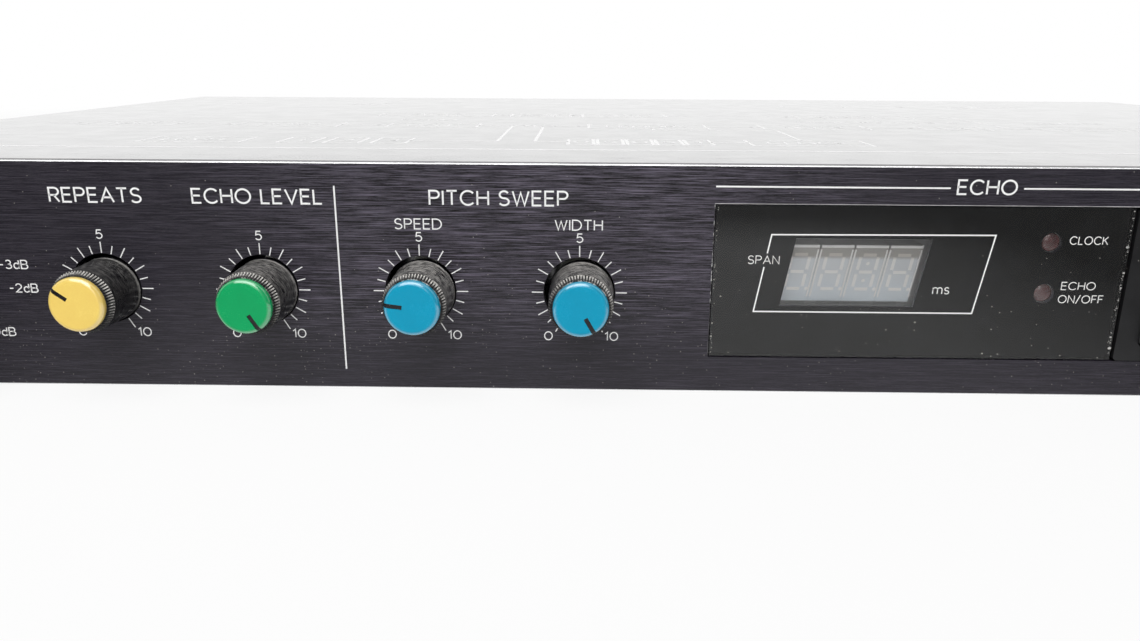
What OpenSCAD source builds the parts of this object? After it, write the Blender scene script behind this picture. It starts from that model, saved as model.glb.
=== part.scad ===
// Rackmount delay unit, one rack unit high.
// +X to the right seen from the front, +Y to the rear, +Z up, millimetres.
// The origin is the centre of the four rack slots, on the rear face of the front panel.

/* [Front panel] */
// Width over both rack ears
panel_w = 482.6; // [480:0.1:486]
// Height of the panel
panel_h = 43.7; // [43.2:0.1:46]
// Thickness of the panel
panel_t = 3; // [2:0.1:4]
// Chamfer along the long front edges of the panel
panel_chamfer = 0.15; // [0.1:0.05:0.8]

/* [Rack slots] */
// Distance between the left and the right slots
slot_pitch_x = 465.1; // [463:0.1:467]
// Distance between the lower and the upper slots
slot_pitch_z = 31.75; // [30:0.05:33]
// Length of a slot from end to end
slot_len = 10; // [8:0.1:12]
// Width of a slot
slot_w = 6.8; // [5.5:0.1:7.5]

/* [Case] */
// Width over the sides of the cover
body_w = 420; // [416:1:424]
// Depth from the rear face of the front panel to the outer face of the rear panel
body_depth = 262; // [256:1:300]
// Sheet thickness of the tray, the bracket and the rear panel
sheet_t = 1.2; // [0.8:0.1:1.6]
// Sheet thickness of the cover
cover_t = 1; // [0.8:0.1:1.5]
// How far the cover lies below the top edge of the front panel
cover_drop = 1; // [0.6:0.1:2]
// Height of the cover's folded sides
cover_side_h = 16; // [12:0.5:22]
// Width of the tray's front flanges, behind the rack ears
flange_w = 12; // [10:0.5:13]
// Width of the folded feet of the bracket and the rear panel
fold_w = 12; // [10:0.5:14]
// How far the bracket's top fold lies below the top edge of the front panel
bracket_drop = 0.2; // [0.1:0.05:0.5]

/* [Panel layout] */
// The gaps below shrink or grow together to fill the width between the walls of the case.
// Gap from the left wall of the case to the level meter
meter_inset = 24.3; // [20:0.1:28]
// Gap from the level meter to the first knob's hole
knob_gap = 22.1; // [18:0.1:24]
// Gap from the last knob's hole to the display opening
window_gap = 17.7; // [14:0.1:20]
// Gap from the display opening to the memory keys
memory_gap = 10.5; // [8:0.1:13]
// Gap from the memory keys to the hold key
hold_gap = 9; // [6:0.1:11]
// Gap from the hold key to the power button
power_gap = 8.5; // [7:0.1:11]
// Gap from the power button to the right wall of the case
power_inset = 9.6; // [8:0.1:12]

/* [Knobs] */
// Distance between neighbouring knobs
knob_pitch = 30; // [28:0.5:32]
// Height of the knob axes above the middle of the panel
knob_z = -2.4; // [-4:0.1:2]
// Diameter of a knob where it meets the panel
skirt_d = 12.3; // [11.5:0.1:13]
// Diameter of the smooth skirt at its front end
shoulder_d = 11.7; // [10.8:0.1:12.4]
// Length of the smooth skirt in front of the panel
skirt_len = 9.1; // [6:0.1:10]
// How far the skirt reaches into its hole in the panel
skirt_inset = 1.5; // [0.5:0.1:2]
// Diameter over the fine ribs
rib_d = 11.1; // [10.6:0.1:11.6]
// Length of the ribbed band
rib_len = 1.6; // [1.5:0.1:3]
// Depth of the grooves between the ribs
rib_depth = 0.25; // [0.1:0.05:0.3]
// Number of ribs round a knob
rib_count = 66; // [60:2:100]
// Diameter of the coloured cap
cap_d = 10.1; // [9:0.1:10.4]
// Thickness of the coloured cap
cap_t = 1.2; // [1:0.05:1.8]
// Rounding of the cap's front edge
cap_round = 0.9; // [0.2:0.05:0.95]
// Diameter of the spigot behind the cap
spigot_d = 6.4; // [5:0.1:7]
// Length of the spigot behind the cap
spigot_len = 0.8; // [0.6:0.1:1.1]
// Width of the pointer line
pointer_w = 0.8; // [0.6:0.05:1.2]
// Distance from the axis to the inner end of the pointer line
pointer_inner = 1.7; // [1.2:0.1:2.5]
// Ring gap between a knob and its hole in the panel
knob_hole_gap = 0.6; // [0.5:0.05:0.8]
// How far a hole's middle lies above its knob's axis
knob_hole_rise = 0.2; // [0:0.05:0.3]
// How far a hole's middle lies to the left of its knob's axis
knob_hole_shift = 0.35; // [0:0.05:0.4]

/* [Potentiometers] */
// Diameter of the body
pot_d = 16; // [14:0.5:18]
// Length of the body behind the bracket
pot_len = 9; // [7:0.5:12]
// Diameter of the bush
bush_d = 7; // [6.6:0.1:8]
// Length of the bush in front of the body
bush_len = 7; // [6:0.5:8]
// Diameter of the shaft
shaft_d = 6; // [4:0.1:6.2]
// Length of the shaft inside the body
shaft_tail = 4; // [3:0.5:6]
// Width of the nut across its flats
pot_nut_af = 10; // [9.5:0.5:11]
// Thickness of the nut
pot_nut_t = 2; // [1.5:0.1:2.5]

/* [Display opening] */
// Width of the opening
window_w = 98; // [96:0.5:100]
// Height of the opening
window_h = 29.6; // [28:0.1:31]
// Width of the smoked lens
lens_w = 76.5; // [74:0.5:77]
// How far the lens lies behind the front face of the panel
lens_recess = 0.3; // [0:0.05:0.6]
// Gap between the lens, the key bezel and the edges of the opening
lens_gap = 0.2; // [0.1:0.05:0.4]
// Gap between the lens and the key bezel
seam_w = 0.4; // [0.3:0.1:1.2]
// Thickness of the mask behind the lens
mask_t = 0.8; // [0.5:0.1:1.2]
// How far the mask and the key bezel reach behind the panel
mask_lip = 3; // [2:0.1:3.5]

/* [Digits] */
// Distance between neighbouring digits
digit_pitch = 6.5; // [6:0.1:7]
// Height of a digit module
digit_h = 11; // [10:0.1:12.5]
// Depth of a digit module
digit_depth = 5.4; // [4.5:0.1:7]
// Slant of the digits from upright, in degrees
digit_slant = 10; // [5:0.5:12]
// Distance from the left edge of the opening to the middle of the four digits
digits_inset = 26.5; // [24:0.1:29]
// Height of the digits' middle above the middle of the panel
digits_z = 1.1; // [-1:0.1:2]
// Gap between the mask and the digit modules
digit_gap = 1; // [0.5:0.1:2]
// Height of the clear opening in the mask
clear_h = 13.1; // [12.6:0.1:14]
// Width of the clear opening in the mask
clear_w = 25.4; // [24:0.1:27]
// Distance from the left edge of the opening to the middle of the mask's clear opening
clear_inset = 27.3; // [25:0.1:30]
// Height of the middle of the mask's clear opening above the middle of the panel
clear_z = 1.6; // [-1:0.1:2.5]

/* [Lamps] */
// Diameter of a status lamp
status_led_d = 3.6; // [3:0.1:5.2]
// Height of a status lamp's low dome
status_dome = 0.6; // [0.4:0.1:1.5]
// Distance from the left edge of the opening to the status lamps
status_inset = 63.2; // [60:0.1:66]
// Height of the upper status lamp above the middle of the panel
status_led_top = 7.7; // [7:0.1:9]
// Distance between the two status lamps
status_led_pitch = 9.8; // [8:0.1:12]
// Diameter of the small lamps in the panel
small_led_d = 3; // [2.8:0.1:3.2]
// How far the small lamps stand out of the panel
small_led_reach = 0.8; // [0.4:0.1:1.2]
// Distance between neighbouring meter lamps
meter_pitch = 5.5; // [4.5:0.1:6]

/* [Keys] */
// Width of a time key
time_key_w = 12; // [11:0.1:15.5]
// Height of a time key
time_key_h = 10; // [8:0.1:10.5]
// Distance between the two time keys
time_key_pitch = 13; // [12.6:0.1:13.5]
// Width of a panel key
key_w = 11; // [9:0.1:11.5]
// Height of a panel key
key_h = 7; // [6:0.1:8]
// How far a key stands out of its surround
key_reach = 1.8; // [1.4:0.1:2.5]
// Travel of a key
key_travel = 0.5; // [0.3:0.05:0.7]
// Chamfer round the front of a key
key_chamfer = 0.4; // [0.2:0.05:0.6]
// Gap round a key in its hole
key_gap = 0.25; // [0.2:0.05:0.4]
// Distance between neighbouring panel keys
key_pitch = 15; // [14:0.1:15.5]
// Height of the panel keys above the middle of the panel
key_z = -5; // [-7:0.1:-3]
// Distance from the panel keys up to their lamps
key_led_rise = 10; // [8:0.1:11]
// Side of a key switch
switch_w = 6; // [5.5:0.1:7]
// Depth of a key switch
switch_depth = 3.6; // [3:0.1:4.5]
// Diameter of a key's stem
stem_d = 3.4; // [3:0.1:4]

/* [Power button] */
// Width of the power button
power_w = 12; // [10:0.1:13]
// Height of the power button
power_h = 9; // [8:0.1:11]
// How far the power button stands out of the panel
power_reach = 5; // [4.5:0.1:7]
// Travel of the power button
power_travel = 3; // [2:0.1:4]
// Width and height of the power switch
power_switch_w = 15; // [13:0.5:16]
// Depth of the power switch
power_switch_depth = 24; // [20:0.5:30]

/* [Boards] */
// Thickness of every circuit board
board_t = 1.6; // [1.2:0.1:2]
// Length of the spacers between the panel boards and the bracket
spacer_len = 1.2; // [1:0.1:2]
// Diameter of spacers and standoffs
standoff_d = 6; // [5:0.1:7]
// Height of the standoffs under the main board
standoff_h = 6; // [5:0.5:10]
// Width of the main board
main_board_w = 290; // [280:1:300]
// Distance from the left wall to the main board
main_board_x = 12; // [8:0.5:16]
// Distance from the front panel to the main board
main_board_y = 36; // [34:0.5:42]
// Distance from the main board to the outer face of the rear panel
main_board_gap = 36; // [32:0.5:46]
// Distance from the left edge of the display opening to the middle of the ribbon cable
ribbon_inset = 47; // [30:0.5:65]
// Width of the ribbon cable
ribbon_w = 30; // [20:1:40]
// Thickness of the ribbon cable
ribbon_t = 0.9; // [0.7:0.1:1.2]

/* [Transformer] */
// Distance from the front panel to the middle of the core
core_y = 170; // [140:1:190]
// Width of the core
core_w = 57; // [50:0.5:62]
// Height of the core
core_h = 36; // [33:0.5:37]
// Thickness of the core's stack
core_t = 24; // [20:0.5:30]
// Width of the core's middle limb
limb_w = 18; // [14:0.5:20]
// Thickness of the core's yokes
yoke_t = 9; // [7:0.5:10]
// How far the coil stands out of the core, front and rear
coil_reach = 10; // [8:0.5:14]
// Length of each of the core's mounting feet
core_foot = 11; // [10:0.5:14]

/* [Rear connections] */
// Distance from the left side of the case to the first jack
jack_x = 25; // [18:0.5:30]
// Distance between neighbouring jacks
jack_pitch = 24; // [20:0.5:26]
// Diameter of a jack's socket
jack_bore_d = 6.5; // [6.4:0.05:6.8]
// Depth of a jack's socket
jack_bore_len = 28; // [20:0.5:29]
// Diameter of a jack's bush
jack_bush_d = 9.4; // [9:0.1:11]
// How far a jack's bush stands out of the rear panel
jack_reach = 5; // [3.5:0.5:8]
// Side of a jack's body
jack_w = 16; // [14:0.5:18]
// Depth of a jack's body
jack_depth = 26; // [25:0.5:30]
// Width of a jack's nut across its flats
jack_nut_af = 13; // [12.5:0.5:15]
// Thickness of a jack's nut
jack_nut_t = 2; // [1.5:0.1:3]
// Distance from the last jack to the first slide switch
slide_gap = 26; // [22:0.5:30]
// Distance between the two slide switches
slide_pitch = 22; // [20:0.5:26]
// Travel of a slide switch
slide_travel = 4; // [2:0.1:5]
// Width and height of a slide switch's grip
slide_grip = 4; // [3:0.1:5]
// How far the grip stands out of the rear panel
slide_reach = 2.5; // [1.5:0.1:4]

/* [Mains inlet] */
// Distance from the right side of the case to the inlet
inlet_x = 48; // [40:0.5:60]
// Width of the inlet's flange
inlet_flange_w = 50; // [48:0.5:52]
// Height of the inlet's flange
inlet_flange_h = 23; // [22:0.5:26]
// Thickness of the inlet's flange
inlet_flange_t = 2.5; // [2:0.1:3.5]
// Distance between the inlet's screws
inlet_screw_pitch = 40; // [38:0.5:42]
// Width of the inlet's socket
socket_w = 24.4; // [23.5:0.1:25]
// Height of the inlet's socket
socket_h = 16.8; // [16:0.1:17.5]
// Depth of the inlet's socket
socket_depth = 16; // [14:0.5:18]
// Wall round the inlet's socket
socket_wall = 1.4; // [1.2:0.1:2]
// Distance from the middle pin to each outer pin
pin_pitch = 7; // [6.5:0.1:7.5]
// Thickness of a pin
pin_t = 2; // [1.5:0.1:2.5]
// Width of a pin
pin_w = 4; // [3.5:0.1:5]

/* [Screws] */
// Distance between the screws in the feet of the bracket and the rear panel
fold_screw_pitch = 110; // [100:1:120]
// Distance from the ends of the case to the cover's outer screws
side_screw_inset = 36; // [30:1:50]
// Diameter of every screw and panel stud
screw_d = 3; // [2.5:0.1:3.2]
// Diameter of a screw's head
head_d = 5.6; // [5:0.1:6]
// Height of a screw's head
head_h = 1.8; // [1.4:0.1:2.2]
// Width of a stud's nut across its flats
nut_af = 5.5; // [5.2:0.1:6]
// Thickness of a stud's nut
nut_t = 2.4; // [2:0.1:3]

/* [Clearances] */
// Gap between sheet pieces that lie side by side
sheet_gap = 0.2; // [0.1:0.05:0.4]
// Ring gap between a shaft and its bush
run_gap = 0.05; // [0.02:0.01:0.1]
// Ring gap of a press fit
press_gap = 0.02; // [0.01:0.01:0.05]
// Ring gap round screws, bushes and pins in their holes
hole_gap = 0.1; // [0.05:0.05:0.2]

/* [Hidden] */
$fn = 64;
overcut = 1;

// Faces and edges of the case
panel_front = -panel_t;
panel_top = panel_h / 2;
panel_base = -panel_h / 2;
floor_top = panel_base + sheet_t;
cover_top = panel_top - cover_drop;
wall_top = cover_top - cover_t - sheet_gap;
tray_half = body_w / 2 - cover_t - sheet_gap;
inner_half = tray_half - sheet_t;
rear_inner = body_depth - sheet_t;

// Layers behind the front panel, from front to rear
digit_front = mask_t + digit_gap;
board_front = digit_front + digit_depth;
board_rear = board_front + board_t;
bracket_front = board_rear + spacer_len;
bracket_rear = bracket_front + sheet_t;
pot_rear = bracket_rear + pot_len;

// Controls across the panel, from left to right, with their gaps spread over the case's width
knob_count = 5;
memory_count = 4;
knob_hole_d = skirt_d + 2 * knob_hole_gap;
knobs_w = (knob_count - 1) * knob_pitch + knob_hole_d;
memory_w = (memory_count - 1) * key_pitch + key_w;
controls_w = small_led_d + knobs_w + window_w + memory_w + key_w + power_w;
gaps_w = meter_inset + knob_gap + window_gap + memory_gap + hold_gap + power_gap + power_inset;
spread = (2 * inner_half - controls_w) / gaps_w;
meter_x = -inner_half + spread * meter_inset + small_led_d / 2;
knobs_left = meter_x + small_led_d / 2 + spread * knob_gap;
window_x = knobs_left + knobs_w + spread * window_gap;
memory_left = window_x + window_w + spread * memory_gap;
hold_x = memory_left + memory_w + spread * hold_gap + key_w / 2;
power_x = hold_x + key_w / 2 + spread * power_gap + power_w / 2;
function knob_x(i) = knobs_left + knob_hole_d / 2 + i * knob_pitch;
function memory_x(i) = memory_left + key_w / 2 + i * key_pitch;

// Knobs, counted from the left
knob_turn = [60, -54, 149, -83, 150];
cap_colors = ["firebrick", "khaki", "seagreen", "steelblue", "steelblue"];
knob_back = panel_t - skirt_inset;
shoulder_front = panel_t + skirt_len;
rib_front = shoulder_front + rib_len;
cap_front = rib_front + cap_t;
shaft_tip_gap = 0.3;
skirt_wall = 1.2;
skirt_hollow = 2.5;

// Lens and key bezel, side by side in the display opening
lens_left = window_x + lens_gap;
lens_right = lens_left + lens_w;
bezel_left = lens_right + seam_w;
bezel_right = window_x + window_w - lens_gap;
bezel_proud = 0.2;
bezel_corner = 0.8;
bezel_mid = (bezel_left + bezel_right) / 2;
time_key_z = time_key_pitch / 2;
digits_x = window_x + digits_inset;
clear_x = window_x + clear_inset;
status_x = window_x + status_inset;

// Panel keys and lamps
flange_lip = 1;
flange_t = 1;
flange_rest = 0.15;
stem_grip = 1.8;
key_corner = 0.8;
meter_count = 5;
key_xs = concat([for (i = [0 : memory_count - 1]) memory_x(i)], [hold_x]);
power_stem_d = 5;
power_stem_grip = 6;

// Boards
board_margin = 9;
panel_board_left = window_x - mask_lip - 1;
panel_board_right = power_x + board_margin;
panel_board_half = window_h / 2 + mask_lip;
meter_board_half = 10;
board_hole_inset = 4;
control_board_half = 15;
main_left = -inner_half + main_board_x;
main_right = main_left + main_board_w;
main_under = floor_top + standoff_h;
main_top = main_under + board_t;
main_rear = body_depth - main_board_gap;
ribbon_x = window_x + ribbon_inset;
ribbon_z = 8;
ribbon_drop_y = main_board_y + 14;

// Chips on the main board, in rows, with a long one at their right
chip_columns = 8;
chip_rows = 3;
chip_w = 7;
chip_len = 20;
chip_inset_x = 30;
chip_inset_y = 50;
chip_pitch_x = 18;
chip_pitch_y = 36;
chip_h = 3.6;
chip_lift = 0.6;
chip_leg_t = 0.4;
long_chip_w = 14;
long_chip_len = 52;
long_chip_gap = 20;

// Rear panel
jack_count = 6;
jack_z = -2;
slide_count = 2;
slide_z = -2;
slide_body_h = 9;
slide_body_depth = 8;
slide_grip_depth = 4;
slide_margin = 3;
slide_slot_w = slide_grip + slide_travel + 4 * key_gap;
inlet_z = -1;
inlet_mid = body_w / 2 - inlet_x;
inlet_body_w = socket_w + 2 * socket_wall;
inlet_body_h = socket_h + 2 * socket_wall;
inlet_floor = 3;
inlet_corner = 3;
pin_reach = 12;
pin_tail = 7;
pin_rise = 2;
function jack_at(i) = -body_w / 2 + jack_x + i * jack_pitch;
function slide_at(i) = jack_at(jack_count - 1) + slide_gap + i * slide_pitch;

// Transformer, beside the main board
core_x = (main_right + inner_half) / 2;
core_foot_t = 1.6;
core_base = floor_top;
core_window_w = (core_w - limb_w - 2 * yoke_t) / 2;
core_window_h = core_h - 2 * yoke_t;
coil_gap = 0.3;

// Screws
fold_screw_xs = [for (i = [-1.5 : 1.5]) i * fold_screw_pitch];
side_screw_ys = [side_screw_inset, body_depth / 2, body_depth - side_screw_inset];
stud_x = tray_half + flange_w / 2;
stud_z = 12;
stud_len = sheet_t + nut_t + 1;
screw_bite = 4;
recess_w = 0.8;
recess_depth = 0.9;

// Outline helpers

// A rectangle with rounded corners, centred, as a list of points
function rounded_points(w, h, r, steps = 6) = [
    for (corner = [0 : 3], step = [0 : steps])
        let (
            a = 90 * corner + 90 * step / steps,
            sx = (corner == 0 || corner == 3) ? 1 : -1,
            sy = corner < 2 ? 1 : -1
        )
        [sx * (w / 2 - r) + r * cos(a), sy * (h / 2 - r) + r * sin(a)]
];

module rounded_block(w, h, r, d) {
    linear_extrude(d) polygon(rounded_points(w, h, r));
}

// A parallelogram that leans to the right by the digits' slant, centred
module slanted_block(w, h, d) {
    lean = tan(digit_slant) * h / 2;
    linear_extrude(d) polygon([
        [-w / 2 - lean, -h / 2],
        [w / 2 - lean, -h / 2],
        [w / 2 + lean, h / 2],
        [-w / 2 + lean, h / 2]
    ]);
}

// Turns a shape so that its own +Z points out of the front, from the panel's rear face
module facing_front(x, z) {
    translate([x, 0, z]) rotate([90, 0, 0]) children();
}

// Turns a shape so that its own +Z points out of the rear, from the rear panel's outer face
module facing_rear(x, z) {
    translate([x, body_depth, z]) rotate([-90, 0, 0]) children();
}

// A straight box between two corners
module span(low, high) {
    translate(low) cube(high - low);
}

// A profile drawn in Y and Z, carried along X
module along_x(x0, x1) {
    translate([x0, 0, 0]) rotate([90, 0, 90]) linear_extrude(x1 - x0) children();
}

// A pan head screw that points down its own -Z, with its head on the plane Z = 0
module screw(shank_len) {
    difference() {
        union() {
            translate([0, 0, -shank_len]) cylinder(d = screw_d, h = shank_len);
            cylinder(d = head_d, h = head_h / 2);
            translate([0, 0, head_h / 2]) cylinder(d1 = head_d, d2 = head_d - head_h, h = head_h / 2);
        }
        for (turn = [0, 90])
            rotate(turn)
                translate([-head_d / 4, -recess_w / 2, head_h - recess_depth])
                    cube([head_d / 2, recess_w, recess_depth + overcut]);
    }
}

module screw_hole(depth) {
    translate([0, 0, -depth]) cylinder(d = screw_d + 2 * hole_gap, h = depth + overcut);
}

// A hexagonal nut with a plain hole, standing on Z = 0
module hex_nut(across_flats, thickness, hole_d) {
    difference() {
        cylinder(d = across_flats / cos(30), h = thickness, $fn = 6);
        translate([0, 0, -overcut]) cylinder(d = hole_d, h = thickness + 2 * overcut);
    }
}

// A round lamp with a domed front and a collar at its rear, standing on Z = 0
module lamp(d, length, dome) {
    collar_h = 1;
    collar_d = d + 0.8;
    cylinder(d = collar_d, h = collar_h);
    cylinder(d = d, h = length - dome);
    translate([0, 0, length - dome]) scale([1, 1, 2 * dome / d]) sphere(d = d);
}

// Places that several pieces share

module at_rack_slots() {
    for (sx = [-1, 1], sz = [-1, 1])
        translate([sx * slot_pitch_x / 2, 0, sz * slot_pitch_z / 2]) children();
}

module at_studs() {
    for (sx = [-1, 1], sz = [-1, 1])
        translate([sx * stud_x, 0, sz * stud_z]) children();
}

module at_knobs() {
    for (i = [0 : knob_count - 1]) facing_front(knob_x(i), knob_z) children();
}

module at_panel_keys() {
    for (x = key_xs) facing_front(x, key_z) children();
}

module at_time_keys() {
    for (side = [-1, 1]) facing_front(bezel_mid, side * time_key_z) children();
}

module at_indicators() {
    for (x = concat(key_xs, [power_x])) facing_front(x, key_z + key_led_rise) children();
}

module at_meter() {
    middle = (meter_count - 1) / 2;
    for (i = [0 : meter_count - 1]) facing_front(meter_x, knob_z + (i - middle) * meter_pitch) children();
}

module at_status() {
    for (i = [0, 1]) facing_front(status_x, status_led_top - i * status_led_pitch) children();
}

module at_digits() {
    for (i = [-1.5 : 1.5]) facing_front(digits_x + i * digit_pitch, digits_z) children();
}

module at_front_board_holes() {
    xs = [
        panel_board_left + board_hole_inset,
        lens_right - 2 * board_hole_inset,
        memory_x(0) - key_w,
        panel_board_right - board_hole_inset
    ];
    for (x = xs, sz = [-1, 1])
        facing_front(x, sz * (panel_board_half - board_hole_inset)) children();
    for (side = [-1, 1])
        facing_front(
            meter_x + side * (meter_board_half - board_hole_inset),
            side * (panel_board_half - board_hole_inset)
        )
            children();
}

module at_main_board_holes() {
    xs = [main_left + board_hole_inset, (main_left + main_right) / 2, main_right - board_hole_inset];
    ys = [main_board_y + board_hole_inset, main_rear - board_hole_inset];
    for (x = xs, y = ys) translate([x, y, 0]) children();
}

module at_bracket_feet() {
    for (x = fold_screw_xs) translate([x, bracket_rear + fold_w / 2, floor_top + sheet_t]) children();
}

module at_rear_feet() {
    for (x = fold_screw_xs) translate([x, rear_inner - fold_w / 2, floor_top + sheet_t]) children();
}

module at_core_feet() {
    for (sx = [-1, 1], sy = [-1, 1])
        translate([
            core_x + sx * (core_w + core_foot) / 2,
            core_y + sy * core_t / 4,
            core_base + core_foot_t
        ])
            children();
}

module at_cover_screws() {
    for (y = side_screw_ys, side = [0, 180])
        rotate(side)
            translate([body_w / 2, side == 0 ? y : -y, cover_top - cover_side_h / 2])
                rotate([0, 90, 0]) children();
}

module at_jacks() {
    for (i = [0 : jack_count - 1]) facing_rear(jack_at(i), jack_z) children();
}

module at_slides() {
    for (i = [0 : slide_count - 1]) facing_rear(slide_at(i), slide_z) children();
}

module at_inlet_screws() {
    for (side = [-1, 1]) facing_rear(inlet_mid + side * inlet_screw_pitch / 2, inlet_z) children();
}

// Case

module front_panel() {
    color([0.2, 0.19, 0.22]) {
        difference() {
            along_x(-panel_w / 2, panel_w / 2) polygon([
                [0, panel_base],
                [0, panel_top],
                [panel_front + panel_chamfer, panel_top],
                [panel_front, panel_top - panel_chamfer],
                [panel_front, panel_base + panel_chamfer],
                [panel_front + panel_chamfer, panel_base]
            ]);
            at_rack_slots() rack_slot();
            at_knobs() translate([-knob_hole_shift, knob_hole_rise, 0]) panel_hole(knob_hole_d);
            at_meter() panel_hole(small_led_d + 2 * hole_gap);
            at_indicators() panel_hole(small_led_d + 2 * hole_gap);
            at_panel_keys() key_hole(key_w, key_h);
            facing_front(power_x, key_z) key_hole(power_w, power_h);
            span(
                [window_x, panel_front - overcut, -window_h / 2],
                [window_x + window_w, overcut, window_h / 2]
            );
        }
        at_studs() rotate([-90, 0, 0]) cylinder(d = screw_d, h = stud_len);
    }
}

module rack_slot() {
    rotate([90, 0, 0]) translate([0, 0, -overcut]) {
        for (side = [-1, 1])
            translate([side * (slot_len - slot_w) / 2, 0, 0])
                cylinder(d = slot_w, h = panel_t + 2 * overcut);
        translate([-(slot_len - slot_w) / 2, -slot_w / 2, 0])
            cube([slot_len - slot_w, slot_w, panel_t + 2 * overcut]);
    }
}

module panel_hole(d) {
    translate([0, 0, -overcut]) cylinder(d = d, h = panel_t + 2 * overcut);
}

module key_hole(w, h) {
    depth = panel_t + bezel_proud + 2 * overcut;
    translate([0, 0, -overcut])
        rounded_block(w + 2 * key_gap, h + 2 * key_gap, key_corner + key_gap, depth);
}

module panel_nuts() {
    color("silver")
        at_studs() translate([0, sheet_t, 0]) rotate([-90, 0, 0])
            hex_nut(nut_af, nut_t, screw_d + 2 * press_gap);
}

module front_bracket() {
    bracket_half = inner_half - sheet_gap;
    bracket_top = panel_top - bracket_drop;
    ribbon_slot = 4;
    color([0.25, 0.25, 0.26]) difference() {
        along_x(-bracket_half, bracket_half) polygon([
            [sheet_gap, bracket_top],
            [bracket_rear, bracket_top],
            [bracket_rear, floor_top + sheet_t],
            [bracket_rear + fold_w, floor_top + sheet_t],
            [bracket_rear + fold_w, floor_top],
            [bracket_front, floor_top],
            [bracket_front, bracket_top - sheet_t],
            [sheet_gap, bracket_top - sheet_t]
        ]);
        at_knobs() bracket_hole(bush_d + 2 * hole_gap);
        facing_front(power_x, key_z) bracket_hole(power_stem_d + 4 * key_gap);
        at_front_board_holes() bracket_hole(screw_d + 2 * hole_gap);
        at_bracket_feet() screw_hole(sheet_t + overcut);
        span(
            [ribbon_x - ribbon_w / 2 - ribbon_slot, bracket_front - overcut, ribbon_z - ribbon_slot],
            [ribbon_x + ribbon_w / 2 + ribbon_slot, bracket_rear + overcut, ribbon_z + ribbon_slot]
        );
    }
}

module bracket_hole(d) {
    translate([0, 0, -bracket_rear - overcut]) cylinder(d = d, h = sheet_t + 2 * overcut);
}

module chassis_tray() {
    color([0.16, 0.16, 0.17]) difference() {
        union() {
            span([-tray_half, 0, panel_base], [tray_half, body_depth, floor_top]);
            for (side = [-1, 1]) {
                wall_mid = side * (tray_half - sheet_t / 2);
                span(
                    [wall_mid - sheet_t / 2, 0, panel_base],
                    [wall_mid + sheet_t / 2, body_depth, wall_top]
                );
                flange_mid = side * (tray_half + (flange_w - sheet_t) / 2);
                span(
                    [flange_mid - (flange_w + sheet_t) / 2, 0, panel_base + sheet_t],
                    [flange_mid + (flange_w + sheet_t) / 2, sheet_t, wall_top]
                );
            }
        }
        at_studs() rotate([-90, 0, 0]) translate([0, 0, -overcut])
            cylinder(d = screw_d + 2 * hole_gap, h = sheet_t + 2 * overcut);
        at_cover_screws() screw_hole(cover_t + sheet_gap + sheet_t + overcut);
        at_bracket_feet() screw_hole(2 * sheet_t + overcut);
        at_rear_feet() screw_hole(2 * sheet_t + overcut);
        at_core_feet() screw_hole(core_foot_t + sheet_t + overcut);
    }
}

module top_cover() {
    cover_front = bracket_rear + sheet_gap;
    color([0.2, 0.2, 0.21]) difference() {
        union() {
            span([-body_w / 2, cover_front, cover_top - cover_t], [body_w / 2, body_depth, cover_top]);
            for (side = [-1, 1]) {
                side_mid = side * (body_w - cover_t) / 2;
                span(
                    [side_mid - cover_t / 2, cover_front, cover_top - cover_side_h],
                    [side_mid + cover_t / 2, body_depth, cover_top]
                );
            }
        }
        at_cover_screws() screw_hole(cover_t + sheet_gap / 2);
    }
}

module cover_screws() {
    color("dimgray") at_cover_screws() screw(cover_t + sheet_gap + sheet_t);
}

module chassis_screws() {
    color("silver") {
        at_bracket_feet() screw(2 * sheet_t);
        at_rear_feet() screw(2 * sheet_t);
        at_core_feet() screw(core_foot_t + sheet_t);
        at_main_board_holes() translate([0, 0, main_top]) screw(board_t + screw_bite);
        at_front_board_holes() translate([0, 0, -board_front]) screw(board_t + spacer_len + sheet_t);
        at_inlet_screws() translate([0, 0, inlet_flange_t]) screw(inlet_flange_t + sheet_t);
    }
}

module rear_panel() {
    rear_half = inner_half - sheet_gap;
    color([0.16, 0.16, 0.17]) difference() {
        union() {
            span([-rear_half, rear_inner, floor_top], [rear_half, body_depth, wall_top]);
            span(
                [-rear_half, rear_inner - fold_w, floor_top],
                [rear_half, rear_inner, floor_top + sheet_t]
            );
        }
        at_jacks() rear_hole(jack_bush_d + 2 * hole_gap);
        at_inlet_screws() rear_hole(screw_d + 2 * hole_gap);
        facing_rear(inlet_mid, inlet_z) translate([0, 0, -sheet_t - overcut])
            rounded_block(
                inlet_body_w + 2 * hole_gap, inlet_body_h + 2 * hole_gap,
                inlet_corner, sheet_t + 2 * overcut
            );
        at_slides() translate([0, 0, -sheet_t - overcut])
            linear_extrude(sheet_t + 2 * overcut)
                square([slide_slot_w, slide_grip + 4 * key_gap], center = true);
        at_rear_feet() screw_hole(sheet_t + overcut);
    }
}

module rear_hole(d) {
    translate([0, 0, -sheet_t - overcut]) cylinder(d = d, h = sheet_t + 2 * overcut);
}

// Knobs

module place_knob(i) {
    facing_front(knob_x(i), knob_z) rotate([0, 0, -knob_turn[i]]) children();
}

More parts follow.
